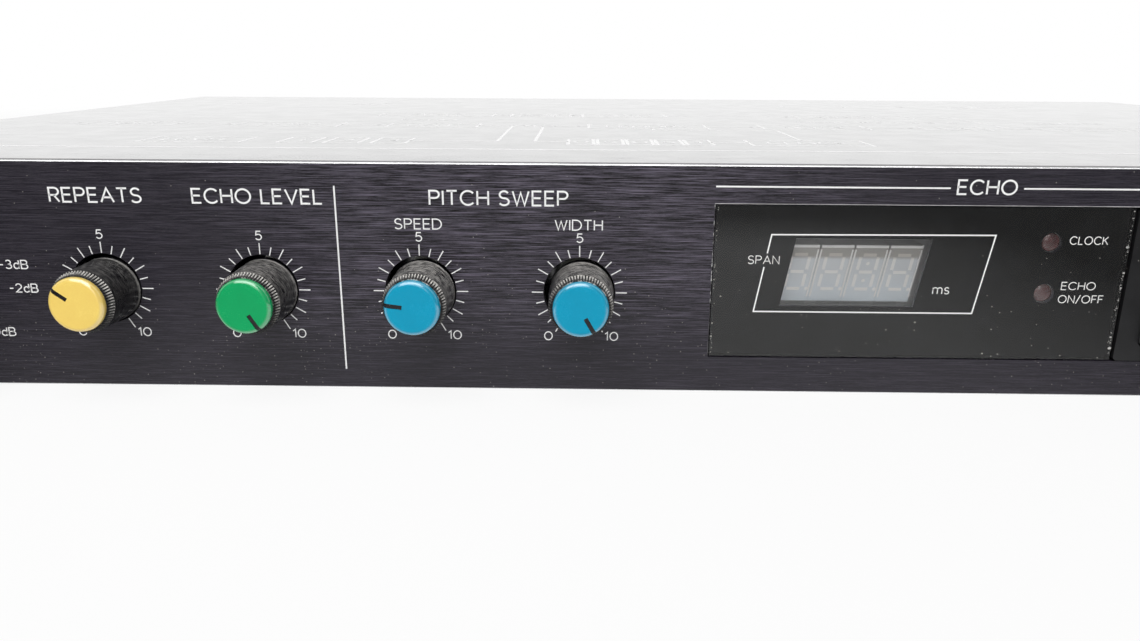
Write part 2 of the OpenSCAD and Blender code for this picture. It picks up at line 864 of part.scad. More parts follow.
module knob(i) {
    bore_d = shaft_d + 2 * press_gap;
    hollow_d = skirt_d - 2 * skirt_wall;
    color([0.13, 0.13, 0.14]) place_knob(i) {
        difference() {
            union() {
                translate([0, 0, knob_back]) cylinder(d = skirt_d, h = panel_t - knob_back);
                translate([0, 0, panel_t]) cylinder(d1 = skirt_d, d2 = shoulder_d, h = skirt_len);
                translate([0, 0, shoulder_front]) linear_extrude(rib_len) polygon(rib_points());
            }
            translate([0, 0, knob_back - overcut]) cylinder(d = hollow_d, h = skirt_hollow + overcut);
            translate([0, 0, knob_back]) cylinder(d = bore_d, h = shoulder_front - knob_back);
            translate([0, 0, rib_front - spigot_len - hole_gap])
                cylinder(d = spigot_d + 2 * press_gap, h = spigot_len + hole_gap + overcut);
        }
        pointer_rib();
    }
}

// Points of a circle with shallow grooves, one pair for each rib
function rib_points() = [
    for (i = [0 : 2 * rib_count - 1])
        let (r = rib_d / 2 - (i % 2) * rib_depth, a = 180 * i / rib_count)
        [r * cos(a), r * sin(a)]
];

// The raised line that fills the cap's slot, a little below the cap's face
module pointer_rib() {
    below_face = 0.15;
    rib_w = pointer_w - 2 * press_gap;
    root = 0.2;
    translate([-rib_w / 2, spigot_d / 2 + press_gap, rib_front - root])
        cube([rib_w, (cap_d - spigot_d) / 2 - press_gap - hole_gap, root]);
    intersection() {
        translate([-rib_w / 2, pointer_inner + press_gap, rib_front])
            cube([rib_w, cap_d / 2 - pointer_inner - press_gap - hole_gap, cap_t]);
        translate([0, 0, -below_face]) cap_disc();
    }
}

// The cap without its slot: a disc with a rounded front edge
module cap_disc() {
    arc_steps = 9;
    rounding = [
        for (step = [0 : arc_steps])
            let (a = 90 * step / arc_steps)
            [
                cap_d / 2 - cap_round + cap_round * cos(a),
                cap_front - cap_round + cap_round * sin(a)
            ]
    ];
    rotate_extrude() polygon(concat([[0, rib_front], [cap_d / 2, rib_front]], rounding, [[0, cap_front]]));
}

module knob_cap(i) {
    color(cap_colors[i]) place_knob(i) difference() {
        union() {
            cap_disc();
            translate([0, 0, rib_front - spigot_len]) cylinder(d = spigot_d, h = spigot_len + cap_t / 2);
        }
        translate([-pointer_w / 2, pointer_inner, rib_front])
            cube([pointer_w, cap_d, cap_t + overcut]);
    }
}

module knob_shaft(i) {
    tail_end = -bracket_rear - shaft_tail;
    color("gainsboro") place_knob(i)
        translate([0, 0, tail_end])
            cylinder(d = shaft_d, h = shoulder_front - shaft_tip_gap - tail_end);
}

// Potentiometers and their board

module potentiometers() {
    bore_end = -bracket_rear - shaft_tail - shaft_tip_gap;
    color("lightslategray") at_knobs() difference() {
        union() {
            translate([0, 0, -pot_rear]) cylinder(d = pot_d, h = pot_len);
            translate([0, 0, -bracket_rear]) cylinder(d = bush_d, h = bush_len);
        }
        translate([0, 0, bore_end]) cylinder(d = shaft_d + 2 * run_gap, h = pot_len + bush_len);
    }
}

module pot_nuts() {
    color("silver") at_knobs() translate([0, 0, -bracket_front])
        hex_nut(pot_nut_af, pot_nut_t, bush_d + 2 * press_gap);
}

module control_board() {
    margin = pot_d / 2 + 4;
    color("darkgreen") span(
        [knob_x(0) - margin, pot_rear, -control_board_half],
        [knob_x(knob_count - 1) + margin, pot_rear + board_t, control_board_half]
    );
}

// Display

module display_lens() {
    half_h = window_h / 2 - lens_gap;
    color([0.1, 0.1, 0.12, 0.6]) span(
        [lens_left, panel_front + lens_recess, -half_h],
        [lens_right, 0, half_h]
    );
}

module display_mask() {
    half_h = window_h / 2 + mask_lip;
    led_hole = status_led_d + 2 * hole_gap;
    color([0.08, 0.08, 0.09]) difference() {
        span([lens_left - lens_gap - mask_lip, 0, -half_h], [lens_right, mask_t, half_h]);
        facing_front(clear_x, clear_z) translate([0, 0, -mask_t - overcut])
            slanted_block(clear_w, clear_h, mask_t + 2 * overcut);
        at_status() translate([0, 0, -mask_t - overcut]) cylinder(d = led_hole, h = mask_t + 2 * overcut);
    }
}

module digit_modules() {
    between = 0.3;
    color("lightsteelblue") at_digits() translate([0, 0, -board_front])
        slanted_block(digit_pitch - between, digit_h, digit_depth);
}

module status_leds() {
    color("indianred") at_status() translate([0, 0, -board_front])
        lamp(status_led_d, board_front - hole_gap, status_dome);
}

// The dark surround of the two time keys, with a lip behind the panel
module key_bezel() {
    height = window_h - 2 * lens_gap;
    width = bezel_right - bezel_left;
    lip_w = width + lens_gap + mask_lip;
    lip_h = window_h + 2 * mask_lip;
    hollow_w = time_key_w + 2 * flange_lip + 4 * key_gap;
    hollow_h = time_key_pitch + time_key_h + 2 * flange_lip + 4 * key_gap;
    color([0.2, 0.2, 0.21]) difference() {
        facing_front(bezel_mid, 0) {
            rounded_block(width, height, bezel_corner, panel_t + bezel_proud);
            translate([(lip_w - width) / 2, 0, -mask_t]) rounded_block(lip_w, lip_h, bezel_corner, mask_t);
        }
        at_time_keys() key_hole(time_key_w, time_key_h);
        facing_front(bezel_mid, 0) translate([0, 0, -mask_t - overcut])
            rounded_block(hollow_w, hollow_h, key_corner, mask_t + overcut);
    }
}

// Keys

// A chamfered key cap, standing on Z = 0
module key_cap(w, h, d) {
    intersection() {
        rounded_block(w, h, key_corner, d);
        rotate([90, 0, 0]) linear_extrude(2 * h, center = true) polygon(chamfer_points(w, d));
        rotate([90, 0, 90]) linear_extrude(2 * w, center = true) polygon(chamfer_points(h, d));
    }
}

function chamfer_points(w, d) = [
    [-w / 2, 0],
    [w / 2, 0],
    [w / 2, d - key_chamfer],
    [w / 2 - key_chamfer, d],
    [-w / 2 + key_chamfer, d],
    [-w / 2, d - key_chamfer]
];

module key(w, h, surround) {
    stem_end = -board_front + switch_depth - stem_grip;
    flange_front = -flange_rest;
    translate([0, 0, flange_front]) key_cap(w, h, surround + key_reach - flange_front);
    translate([0, 0, flange_front - flange_t])
        rounded_block(w + 2 * flange_lip, h + 2 * flange_lip, key_corner, flange_t);
    translate([0, 0, stem_end]) cylinder(d = stem_d, h = flange_front - flange_t - stem_end);
}

module time_key(side) {
    color([0.3, 0.3, 0.31]) facing_front(bezel_mid, side * time_key_z)
        key(time_key_w, time_key_h, panel_t + bezel_proud);
}

module panel_key(i) {
    color([0.3, 0.3, 0.31]) facing_front(key_xs[i], key_z) key(key_w, key_h, panel_t);
}

module key_switch() {
    bore_depth = stem_grip + key_travel + key_gap;
    translate([0, 0, -board_front]) difference() {
        translate([-switch_w / 2, -switch_w / 2, 0]) cube([switch_w, switch_w, switch_depth]);
        translate([0, 0, switch_depth - bore_depth])
            cylinder(d = stem_d + 2 * hole_gap, h = bore_depth + overcut);
    }
}

module key_switches() {
    color([0.15, 0.15, 0.15]) {
        at_panel_keys() key_switch();
        at_time_keys() key_switch();
    }
}

module power_button() {
    flange_front = -flange_rest;
    stem_end = -bracket_rear - power_stem_grip;
    color([0.16, 0.16, 0.17]) facing_front(power_x, key_z) {
        translate([0, 0, flange_front]) key_cap(power_w, power_h, panel_t + power_reach - flange_front);
        translate([0, 0, flange_front - flange_t])
            rounded_block(power_w + 2 * flange_lip, power_h + 2 * flange_lip, key_corner, flange_t);
        translate([0, 0, stem_end]) cylinder(d = power_stem_d, h = flange_front - flange_t - stem_end);
    }
}

module power_switch() {
    bore_depth = power_stem_grip + power_travel + key_gap;
    color("darkslategray") facing_front(power_x, key_z)
        translate([0, 0, -bracket_rear - power_switch_depth]) difference() {
            translate([-power_switch_w / 2, -power_switch_w / 2, 0])
                cube([power_switch_w, power_switch_w, power_switch_depth]);
            translate([0, 0, power_switch_depth - bore_depth])
                cylinder(d = power_stem_d + 2 * hole_gap, h = bore_depth + overcut);
        }
}

// Boards and what stands on them

module panel_boards() {
    color("darkgreen") difference() {
        union() {
            span(
                [panel_board_left, board_front, -panel_board_half],
                [panel_board_right, board_rear, panel_board_half]
            );
            span(
                [meter_x - meter_board_half, board_front, -panel_board_half],
                [meter_x + meter_board_half, board_rear, panel_board_half]
            );
        }
        at_front_board_holes() board_hole(screw_d + 2 * hole_gap);
        facing_front(power_x, key_z) board_hole(power_stem_d + 4 * key_gap);
    }
}

module board_hole(d) {
    translate([0, 0, -board_rear - overcut]) cylinder(d = d, h = board_t + 2 * overcut);
}

module board_standoffs() {
    bore_d = screw_d + 2 * hole_gap;
    color("gold") {
        at_front_board_holes() translate([0, 0, -bracket_front]) difference() {
            cylinder(d = standoff_d, h = spacer_len);
            translate([0, 0, -overcut]) cylinder(d = bore_d, h = spacer_len + 2 * overcut);
        }
        at_main_board_holes() translate([0, 0, floor_top]) difference() {
            cylinder(d = standoff_d, h = standoff_h);
            translate([0, 0, overcut]) cylinder(d = bore_d, h = standoff_h);
        }
    }
}

module indicator_leds() {
    color("indianred") at_indicators() translate([0, 0, -board_front])
        lamp(small_led_d, board_front + panel_t + small_led_reach, small_led_d / 2);
}

module meter_leds() {
    color("indianred") at_meter() translate([0, 0, -board_front])
        lamp(small_led_d, board_front + panel_t + small_led_reach, small_led_d / 2);
}

module main_board() {
    color("darkgreen") difference() {
        span([main_left, main_board_y, main_under], [main_right, main_rear, main_top]);
        at_main_board_holes() translate([0, 0, main_top]) screw_hole(board_t + overcut);
    }
}

module chips() {
    long_chip_x = (chip_columns - 1) * chip_pitch_x + (chip_w + long_chip_w) / 2 + long_chip_gap;
    color([0.12, 0.12, 0.12])
        translate([main_left + chip_inset_x, main_board_y + chip_inset_y, main_top]) {
            for (column = [0 : chip_columns - 1], row = [0 : chip_rows - 1])
                translate([column * chip_pitch_x, row * chip_pitch_y, 0]) chip(chip_w, chip_len);
            translate([long_chip_x, chip_pitch_y, 0]) chip(long_chip_w, long_chip_len);
        }
}

// A chip's body on its two rows of legs
module chip(w, length) {
    leg_inset = 1;
    translate([-w / 2, -length / 2, chip_lift]) cube([w, length, chip_h - chip_lift]);
    for (side = [-1, 1])
        translate([side * (w + chip_leg_t) / 2 - chip_leg_t / 2, leg_inset - length / 2, 0])
            cube([chip_leg_t, length - 2 * leg_inset, chip_h - leg_inset]);
}

module capacitors() {
    can_d = 12;
    can_h = 20;
    can_pitch = 20;
    can_inset = 22;
    color("midnightblue") translate([main_right - can_inset, main_rear - can_inset, main_top])
        for (column = [0, 1], row = [0 : 3])
            translate([-column * can_pitch, -row * can_pitch, 0]) cylinder(d = can_d, h = can_h);
}

// The flat cable from the panel board, through the bracket and down to its header
module ribbon_cable() {
    header_h = 9;
    header_t = 6;
    header_half = ribbon_w / 2 + 2;
    color("lightgray") {
        along_x(ribbon_x - ribbon_w / 2, ribbon_x + ribbon_w / 2) polygon([
            [board_rear, ribbon_z + ribbon_t / 2],
            [ribbon_drop_y + ribbon_t / 2, ribbon_z + ribbon_t / 2],
            [ribbon_drop_y + ribbon_t / 2, main_top],
            [ribbon_drop_y - ribbon_t / 2, main_top],
            [ribbon_drop_y - ribbon_t / 2, ribbon_z - ribbon_t / 2],
            [board_rear, ribbon_z - ribbon_t / 2]
        ]);
        span(
            [ribbon_x - header_half, ribbon_drop_y - header_t / 2, main_top],
            [ribbon_x + header_half, ribbon_drop_y + header_t / 2, main_top + header_h]
        );
    }
}

// Transformer and regulators

module transformer_core() {
    color("slategray") difference() {
        union() {
            span(
                [core_x - core_w / 2, core_y - core_t / 2, core_base],
                [core_x + core_w / 2, core_y + core_t / 2, core_base + core_h]
            );
            span(
                [core_x - core_w / 2 - core_foot, core_y - core_t / 2, core_base],
                [core_x + core_w / 2 + core_foot, core_y + core_t / 2, core_base + core_foot_t]
            );
        }
        for (side = [-1, 1]) {
            mid = core_x + side * (limb_w + core_window_w) / 2;
            span(
                [mid - core_window_w / 2, core_y - core_t / 2 - overcut, core_base + yoke_t],
                [mid + core_window_w / 2, core_y + core_t / 2 + overcut, core_base + yoke_t + core_window_h]
            );
        }
        at_core_feet() screw_hole(core_foot_t + overcut);
    }
}

// The coil fills the core's windows and passes round the middle limb
module transformer_coil() {
    inner_w = limb_w + 2 * coil_gap;
    inner_t = core_t + 2 * coil_gap;
    outer_w = limb_w + 2 * core_window_w - 2 * coil_gap;
    low = core_base + yoke_t + coil_gap;
    high = core_base + yoke_t + core_window_h - coil_gap;
    color("peru") difference() {
        span(
            [core_x - outer_w / 2, core_y - core_t / 2 - coil_reach, low],
            [core_x + outer_w / 2, core_y + core_t / 2 + coil_reach, high]
        );
        span(
            [core_x - inner_w / 2, core_y - inner_t / 2, low - overcut],
            [core_x + inner_w / 2, core_y + inner_t / 2, high + overcut]
        );
    }
}

module regulators() {
    tab_t = 1.3;
    tab_h = 16;
    case_h = 9;
    case_t = 4.4;
    case_w = 10;
    first_y = 60;
    pitch = 24;
    color([0.15, 0.15, 0.16])
        for (i = [0 : 2]) {
            y = first_y + i * pitch;
            span([inner_half - tab_t, y, -tab_h / 2], [inner_half, y + case_w, tab_h / 2]);
            span(
                [inner_half - case_t, y, -tab_h / 2],
                [inner_half - tab_t, y + case_w, case_h - tab_h / 2]
            );
        }
}

// Rear connections

module jacks() {
    color([0.12, 0.12, 0.13]) at_jacks() difference() {
        union() {
            translate([-jack_w / 2, -jack_w / 2, -sheet_t - jack_depth]) cube([jack_w, jack_w, jack_depth]);
            translate([0, 0, -sheet_t]) cylinder(d = jack_bush_d, h = sheet_t + jack_reach);
        }
        translate([0, 0, jack_reach - jack_bore_len])
            cylinder(d = jack_bore_d, h = jack_bore_len + overcut);
    }
}

module jack_nuts() {
    color("silver") at_jacks() hex_nut(jack_nut_af, jack_nut_t, jack_bush_d + 2 * press_gap);
}

module slide_switches() {
    housing_w = slide_slot_w + 2 * slide_margin;
    color([0.15, 0.15, 0.16]) at_slides() translate([0, 0, -sheet_t - slide_body_depth]) difference() {
        translate([-housing_w / 2, -slide_body_h / 2, 0])
            cube([housing_w, slide_body_h, slide_body_depth]);
        translate([0, 0, slide_body_depth - slide_grip_depth - key_gap])
            linear_extrude(slide_body_depth)
                square([slide_slot_w, slide_grip + 2 * key_gap], center = true);
    }
}

// A grip that rests at the left end of its slot, seen from the front
module slider(i) {
    color("whitesmoke") facing_rear(slide_at(i) - slide_travel / 2, slide_z)
        translate([-slide_grip / 2, -slide_grip / 2, -sheet_t - slide_grip_depth])
            cube([slide_grip, slide_grip, sheet_t + slide_grip_depth + slide_reach]);
}

module mains_inlet() {
    color([0.1, 0.1, 0.11]) facing_rear(inlet_mid, inlet_z) difference() {
        union() {
            rounded_block(inlet_flange_w, inlet_flange_h, inlet_corner, inlet_flange_t);
            translate([0, 0, inlet_flange_t - socket_depth - inlet_floor])
                rounded_block(inlet_body_w, inlet_body_h, inlet_corner, socket_depth + inlet_floor);
        }
        translate([0, 0, inlet_flange_t - socket_depth])
            rounded_block(socket_w, socket_h, inlet_corner, socket_depth + overcut);
        for (side = [-1, 1])
            translate([side * inlet_screw_pitch / 2, 0, inlet_flange_t])
                screw_hole(inlet_flange_t + overcut);
        at_pins() translate([0, 0, -inlet_floor - overcut])
            linear_extrude(inlet_floor + 2 * overcut)
                square([pin_t + 2 * press_gap, pin_w + 2 * press_gap], center = true);
    }
}

// Two outer pins and a raised middle one, from the floor of the socket
module at_pins() {
    for (side = [-1 : 1])
        translate([
            side * pin_pitch,
            side == 0 ? -pin_rise : pin_rise,
            inlet_flange_t - socket_depth
        ])
            children();
}

module mains_pins() {
    color("silver") facing_rear(inlet_mid, inlet_z) at_pins()
        translate([0, 0, -inlet_floor - pin_tail])
            linear_extrude(pin_tail + inlet_floor + pin_reach)
                square([pin_t, pin_w], center = true);
}

// What is drawn

front_panel();
panel_nuts();
front_bracket();
chassis_tray();
rear_panel();
top_cover();
cover_screws();
chassis_screws();
knob(0);  // level_knob
knob(1);  // feedback_knob
knob(2);  // echo_knob
knob(3);  // rate_knob
knob(4);  // depth_knob
knob_cap(0);  // level_cap
knob_cap(1);  // feedback_cap
knob_cap(2);  // echo_cap
knob_cap(3);  // rate_cap
knob_cap(4);  // depth_cap
knob_shaft(0);  // level_shaft
knob_shaft(1);  // feedback_shaft
knob_shaft(2);  // echo_shaft
knob_shaft(3);  // rate_shaft
knob_shaft(4);  // depth_shaft
potentiometers();
pot_nuts();
control_board();
display_lens();
display_mask();
digit_modules();
status_leds();
key_bezel();
time_key(1);  // time_up_key
time_key(-1);  // time_down_key
panel_key(0);  // memory_key_1
panel_key(1);  // memory_key_2
panel_key(2);  // memory_key_3
panel_key(3);  // memory_key_4
panel_key(4);  // hold_key
key_switches();
panel_boards();
board_standoffs();
indicator_leds();
meter_leds();
power_button();
power_switch();
main_board();
chips();
capacitors();
ribbon_cable();
transformer_core();
transformer_coil();
regulators();
jacks();
jack_nuts();
slide_switches();
slider(0);  // input_slider
slider(1);  // output_slider
mains_inlet();
mains_pins();
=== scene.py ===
"""Looks of the rackmount delay unit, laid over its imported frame.

Sizes are millimetres in the part's own frame: +X to the right seen from the front, +Y to the
rear, +Z up, with the origin between the rack slots on the rear face of the front panel.
Meshes are scaled to metres when they are made.
"""

import logging
from dataclasses import dataclass, field
from enum import Enum

import bpy
import numpy as np
from mathutils import Matrix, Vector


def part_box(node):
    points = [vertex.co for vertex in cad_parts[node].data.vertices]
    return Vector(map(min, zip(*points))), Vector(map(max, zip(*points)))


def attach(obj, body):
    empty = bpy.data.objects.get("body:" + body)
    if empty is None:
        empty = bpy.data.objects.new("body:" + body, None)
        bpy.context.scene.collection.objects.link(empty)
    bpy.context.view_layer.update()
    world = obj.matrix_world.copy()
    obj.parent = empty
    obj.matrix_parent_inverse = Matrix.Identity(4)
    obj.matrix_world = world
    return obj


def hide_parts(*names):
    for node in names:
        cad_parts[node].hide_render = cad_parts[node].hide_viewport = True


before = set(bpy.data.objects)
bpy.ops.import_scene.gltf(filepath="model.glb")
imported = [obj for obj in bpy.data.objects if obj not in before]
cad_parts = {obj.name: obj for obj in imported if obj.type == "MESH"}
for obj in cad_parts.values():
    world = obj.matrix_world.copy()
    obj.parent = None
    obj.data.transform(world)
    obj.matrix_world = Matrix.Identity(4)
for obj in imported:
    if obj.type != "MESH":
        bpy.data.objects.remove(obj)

MM = 0.001
LOG = logging.getLogger("delay_unit")

Color = tuple[float, float, float]
Point = tuple[float, float]
Vector3 = tuple[float, float, float]
Socket = bpy.types.NodeSocket
Sockets = bpy.types.bpy_prop_collection


def tint(red: int, green: int, blue: int) -> Color:
    """A colour given as it is shown, brought back through the display's curve.

    Args:
        red: Red from 0 to 255.
        green: Green from 0 to 255.
        blue: Blue from 0 to 255.

    Returns:
        The linear colour.
    """
    shown = np.array([red, green, blue]) / 255.0
    linear = np.where(shown <= 0.04045, shown / 12.92, ((shown + 0.055) / 1.055) ** 2.4)
    return tuple(float(value) for value in linear)


def shade(color: Color, factor: float) -> Color:
    """A colour made lighter or darker by a factor, kept below white."""
    return tuple(min(0.95, value * factor) for value in color)


class Effect(Enum):
    """Surface effects that several finishes share, each named as the method that builds it."""

    BRUSHING = "brushing"
    MOULDING = "moulding"
    DUST = "dust"
    SCRATCHES = "scratches"


class Align(Enum):
    """Where a line of print sits beside its anchor."""

    LEFT = 0.0
    CENTRE = 0.5
    RIGHT = 1.0


class Wiring:
    """Adds nodes to one node tree and joins them."""

    def __init__(self, tree: bpy.types.NodeTree) -> None:
        """Keeps the tree that the nodes go into."""
        self.tree = tree

    @classmethod
    def fresh(cls, owner: bpy.types.ID) -> "Wiring":
        """Empties the node tree of a material or a world.

        Args:
            owner: The material or the world.

        Returns:
            The wiring of its tree.
        """
        owner.use_nodes = True
        owner.node_tree.nodes.clear()
        return cls(owner.node_tree)

    def feed(self, socket: Socket, value: object) -> None:
        """Links a socket from another one, or sets its constant.

        Args:
            socket: The input.
            value: The socket to link from, or the constant.
        """
        if isinstance(value, bpy.types.NodeSocket):
            self.tree.links.new(value, socket)
        else:
            socket.default_value = value

    def node(
        self, kind: str, inputs: dict[str, object] | None = None, **settings: object
    ) -> bpy.types.Node:
        """Adds one node.

        Args:
            kind: Blender's name of the node type.
            inputs: Sockets to link from, or constants, by the input's name.
            settings: Properties of the node.

        Returns:
            The new node.
        """
        made = self.tree.nodes.new(kind)
        for name, value in settings.items():
            setattr(made, name, value)
        for name, value in (inputs or {}).items():
            self.feed(made.inputs[name], value)
        return made

    def math(self, operation: str, *values: object) -> Socket:
        """Adds a Math node.

        Args:
            operation: Blender's name of the operation.
            values: Sockets or numbers that it works on.

        Returns:
            The result.
        """
        made = self.node("ShaderNodeMath", operation=operation)
        for socket, value in zip(made.inputs, values):
            self.feed(socket, value)
        return made.outputs[0]

    def stretch(self, vector: Socket, factors: object) -> Socket:
        """Multiplies each part of a vector by a factor of its own.

        Args:
            vector: The vector.
            factors: Another vector, or three numbers.

        Returns:
            The stretched vector.
        """
        made = self.node("ShaderNodeVectorMath", operation="MULTIPLY")
        self.feed(made.inputs[0], vector)
        self.feed(made.inputs[1], factors)
        return made.outputs[0]

    def parts(self, vector: Socket) -> Sockets:
        """The X, Y and Z of a vector."""
        return self.node("ShaderNodeSeparateXYZ", {"Vector": vector}).outputs

    def mark(self, name: str) -> Socket:
        """The value that a piece's own mesh carries under a name."""
        return self.node("ShaderNodeAttribute", attribute_name=name).outputs["Fac"]

    def noise(self, vector: Socket, scale: object, detail: float, roughness: float = 0.5) -> Socket:
        """A smooth noise from 0 to 1, with its scale in cells to the unit of the vector."""
        inputs = {"Vector": vector, "Scale": scale, "Detail": detail, "Roughness": roughness}
        return self.node("ShaderNodeTexNoise", inputs).outputs[0]

    def ramp(
        self, value: Socket, low: float, high: float, first: float = 0.0, last: float = 1.0
    ) -> Socket:
        """Moves a value from one span onto another, and holds it at the ends.

        Args:
            value: The value.
            low: Where the span starts.
            high: Where the span ends.
            first: What low becomes.
            last: What high becomes.

        Returns:
            The moved value.
        """
        made = self.node(
            "ShaderNodeMapRange",
            {"Value": value, "From Min": low, "From Max": high, "To Min": first, "To Max": last},
        )
        return made.outputs[0]

    def blend(self, share: Socket, low: object, high: object) -> Socket:
        """Mixes two colours by a varying share.

        Args:
            share: The share of the second colour.
            low: The first colour, or its socket.
            high: The second colour, or its socket.

        Returns:
            The mixed colour.
        """
        made = self.node("ShaderNodeMix", data_type="RGBA")
        self.feed(made.inputs[0], share)
        for socket, color in ((made.inputs[6], low), (made.inputs[7], high)):
            self.feed(socket, color if isinstance(color, bpy.types.NodeSocket) else (*color, 1.0))
        return made.outputs[2]


class EffectGroups:
    """The shared effects as shader node groups, each built once."""

    INPUTS = {
        Effect.BRUSHING: ("Along", "Across"),
        Effect.MOULDING: ("Scale",),
        Effect.DUST: ("Scale", "Amount"),
        Effect.SCRATCHES: ("Scale", "Amount"),
    }
    OUTPUTS = {
        Effect.BRUSHING: ("Tone", "Streak", "Height"),
        Effect.MOULDING: ("Tone", "Height"),
        Effect.DUST: ("Mask",),
        Effect.SCRATCHES: ("Mask",),
    }

    def __init__(self) -> None:
        """Starts with no group built."""
        self.built: dict[Effect, bpy.types.NodeTree] = {}

    def place(self, wiring: Wiring, effect: Effect, **values: object) -> Sockets:
        """Puts an effect's group into a material.

        Args:
            wiring: The material's tree.
            effect: Which effect.
            values: Sockets or constants for the group's inputs.

        Returns:
            The group's outputs.
        """
        if effect not in self.built:
            self.built[effect] = self.build(effect)
        made = wiring.node("ShaderNodeGroup", None, node_tree=self.built[effect])
        for name, value in values.items():
            wiring.feed(made.inputs[name], value)
        return made.outputs

    def build(self, effect: Effect) -> bpy.types.NodeTree:
        """Makes the node group of one effect, with its sockets.

        Args:
            effect: Which effect.

        Returns:
            The group's tree.
        """
        tree = bpy.data.node_groups.new(effect.value, "ShaderNodeTree")
        tree.interface.new_socket("Vector", in_out="INPUT", socket_type="NodeSocketVector")
        for name in self.INPUTS[effect]:
            tree.interface.new_socket(name, in_out="INPUT", socket_type="NodeSocketFloat")
        for name in self.OUTPUTS[effect]:
            tree.interface.new_socket(name, in_out="OUTPUT", socket_type="NodeSocketFloat")
        wiring = Wiring(tree)
        given = wiring.node("NodeGroupInput").outputs
        maker = {
            Effect.BRUSHING: self.brushing,
            Effect.MOULDING: self.moulding,
            Effect.DUST: self.dust,
            Effect.SCRATCHES: self.scratches,
        }[effect]
        wiring.node("NodeGroupOutput", maker(wiring, given))
        return tree

    @staticmethod
    def brushing(wiring: Wiring, given: Sockets) -> dict[str, Socket]:
        """Noise drawn out along X into fine lines, longer bright threads and rare streaks.

        Args:
            wiring: The group's tree.
            given: The group's inputs.

        Returns:
            The group's outputs by name.
        """
        ways = {"X": given["Along"], "Y": given["Across"], "Z": given["Across"]}
        drawn = wiring.stretch(given["Vector"], wiring.node("ShaderNodeCombineXYZ", ways).outputs[0])
        fine = wiring.noise(drawn, 1.0, 4.0, 0.85)
        lines = wiring.ramp(fine, 0.46, 0.58)
        threads = wiring.ramp(wiring.noise(drawn, 0.7, 1.0), 0.54, 0.7)
        tone = wiring.math(
            "ADD", wiring.math("MULTIPLY", threads, 0.5), wiring.math("MULTIPLY", lines, 0.5)
        )
        sparse = wiring.ramp(wiring.noise(drawn, 0.3, 2.0), 0.5, 0.62)
        streak = wiring.math("MULTIPLY", wiring.ramp(fine, 0.62, 0.74), sparse)
        return {"Tone": tone, "Streak": streak, "Height": lines}

    @staticmethod
    def moulding(wiring: Wiring, given: Sockets) -> dict[str, Socket]:
        """Fine grain for the relief, and slow clouds with some of the grain for the tone.

        Args:
            wiring: The group's tree.
            given: The group's inputs.

        Returns:
            The group's outputs by name.
        """
        clouds = wiring.noise(given["Vector"], wiring.math("MULTIPLY", given["Scale"], 0.05), 4.0)
        grain = wiring.noise(given["Vector"], given["Scale"], 2.0)
        mottle = wiring.math("MULTIPLY", wiring.ramp(grain, 0.3, 0.7), 0.35)
        slow = wiring.math("MULTIPLY", wiring.ramp(clouds, 0.3, 0.7), 0.65)
        return {"Tone": wiring.math("ADD", slow, mottle), "Height": grain}

    @staticmethod
    def dust(wiring: Wiring, given: Sockets) -> dict[str, Socket]:
        """Specks of uneven size in some of the cells of a Voronoi pattern, thicker in patches.

        Args:
            wiring: The group's tree.
            given: The group's inputs.

        Returns:
            The group's output by name.
        """
        cells = wiring.node("ShaderNodeTexVoronoi", {"Vector": given["Vector"], "Scale": given["Scale"]})
        chance = wiring.node("ShaderNodeSeparateColor", {"Color": cells.outputs["Color"]}).outputs
        patch = wiring.noise(given["Vector"], wiring.math("MULTIPLY", given["Scale"], 0.035), 3.0)
        limit = wiring.math("MULTIPLY", given["Amount"], wiring.ramp(patch, 0.4, 0.68, 0.12, 1.0))
        present = wiring.math("LESS_THAN", chance["Red"], limit)
        radius = wiring.math("MULTIPLY_ADD", chance["Green"], 0.22, 0.1)
        inside = wiring.ramp(wiring.math("DIVIDE", cells.outputs["Distance"], radius), 1.0, 0.55)
        strength = wiring.math("MULTIPLY_ADD", chance["Blue"], 0.7, 0.3)
        return {"Mask": wiring.math("MULTIPLY", wiring.math("MULTIPLY", present, inside), strength)}

    @staticmethod
    def scratches(wiring: Wiring, given: Sockets) -> dict[str, Socket]:
        """Thin level lines of a noise, broken up by a second noise.

        Args:
            wiring: The group's tree.
            given: The group's inputs.

        Returns:
            The group's output by name.
        """
        waves = wiring.node(
            "ShaderNodeTexNoise",
            {"Vector": given["Vector"], "Scale": given["Scale"], "Detail": 0.0, "Distortion": 0.6},
        ).outputs[0]
        off = wiring.math("ABSOLUTE", wiring.math("SUBTRACT", waves, 0.5))
        thin = wiring.ramp(off, 0.006, 0.001)
        gaps = wiring.noise(given["Vector"], wiring.math("MULTIPLY", given["Scale"], 2.3), 2.0)
        kept = wiring.math("MULTIPLY", wiring.ramp(gaps, 0.55, 0.65), given["Amount"])
        return {"Mask": wiring.math("MULTIPLY", thin, kept)}


EFFECTS = EffectGroups()
DUST_COLOR = tint(168, 163, 158)


@dataclass
class Skin:
    """A surface while its material is wired: the tree, the piece's own coordinates and its values so far."""

    wiring: Wiring
    place: Socket
    color: Socket
    roughness: Socket
    metallic: object


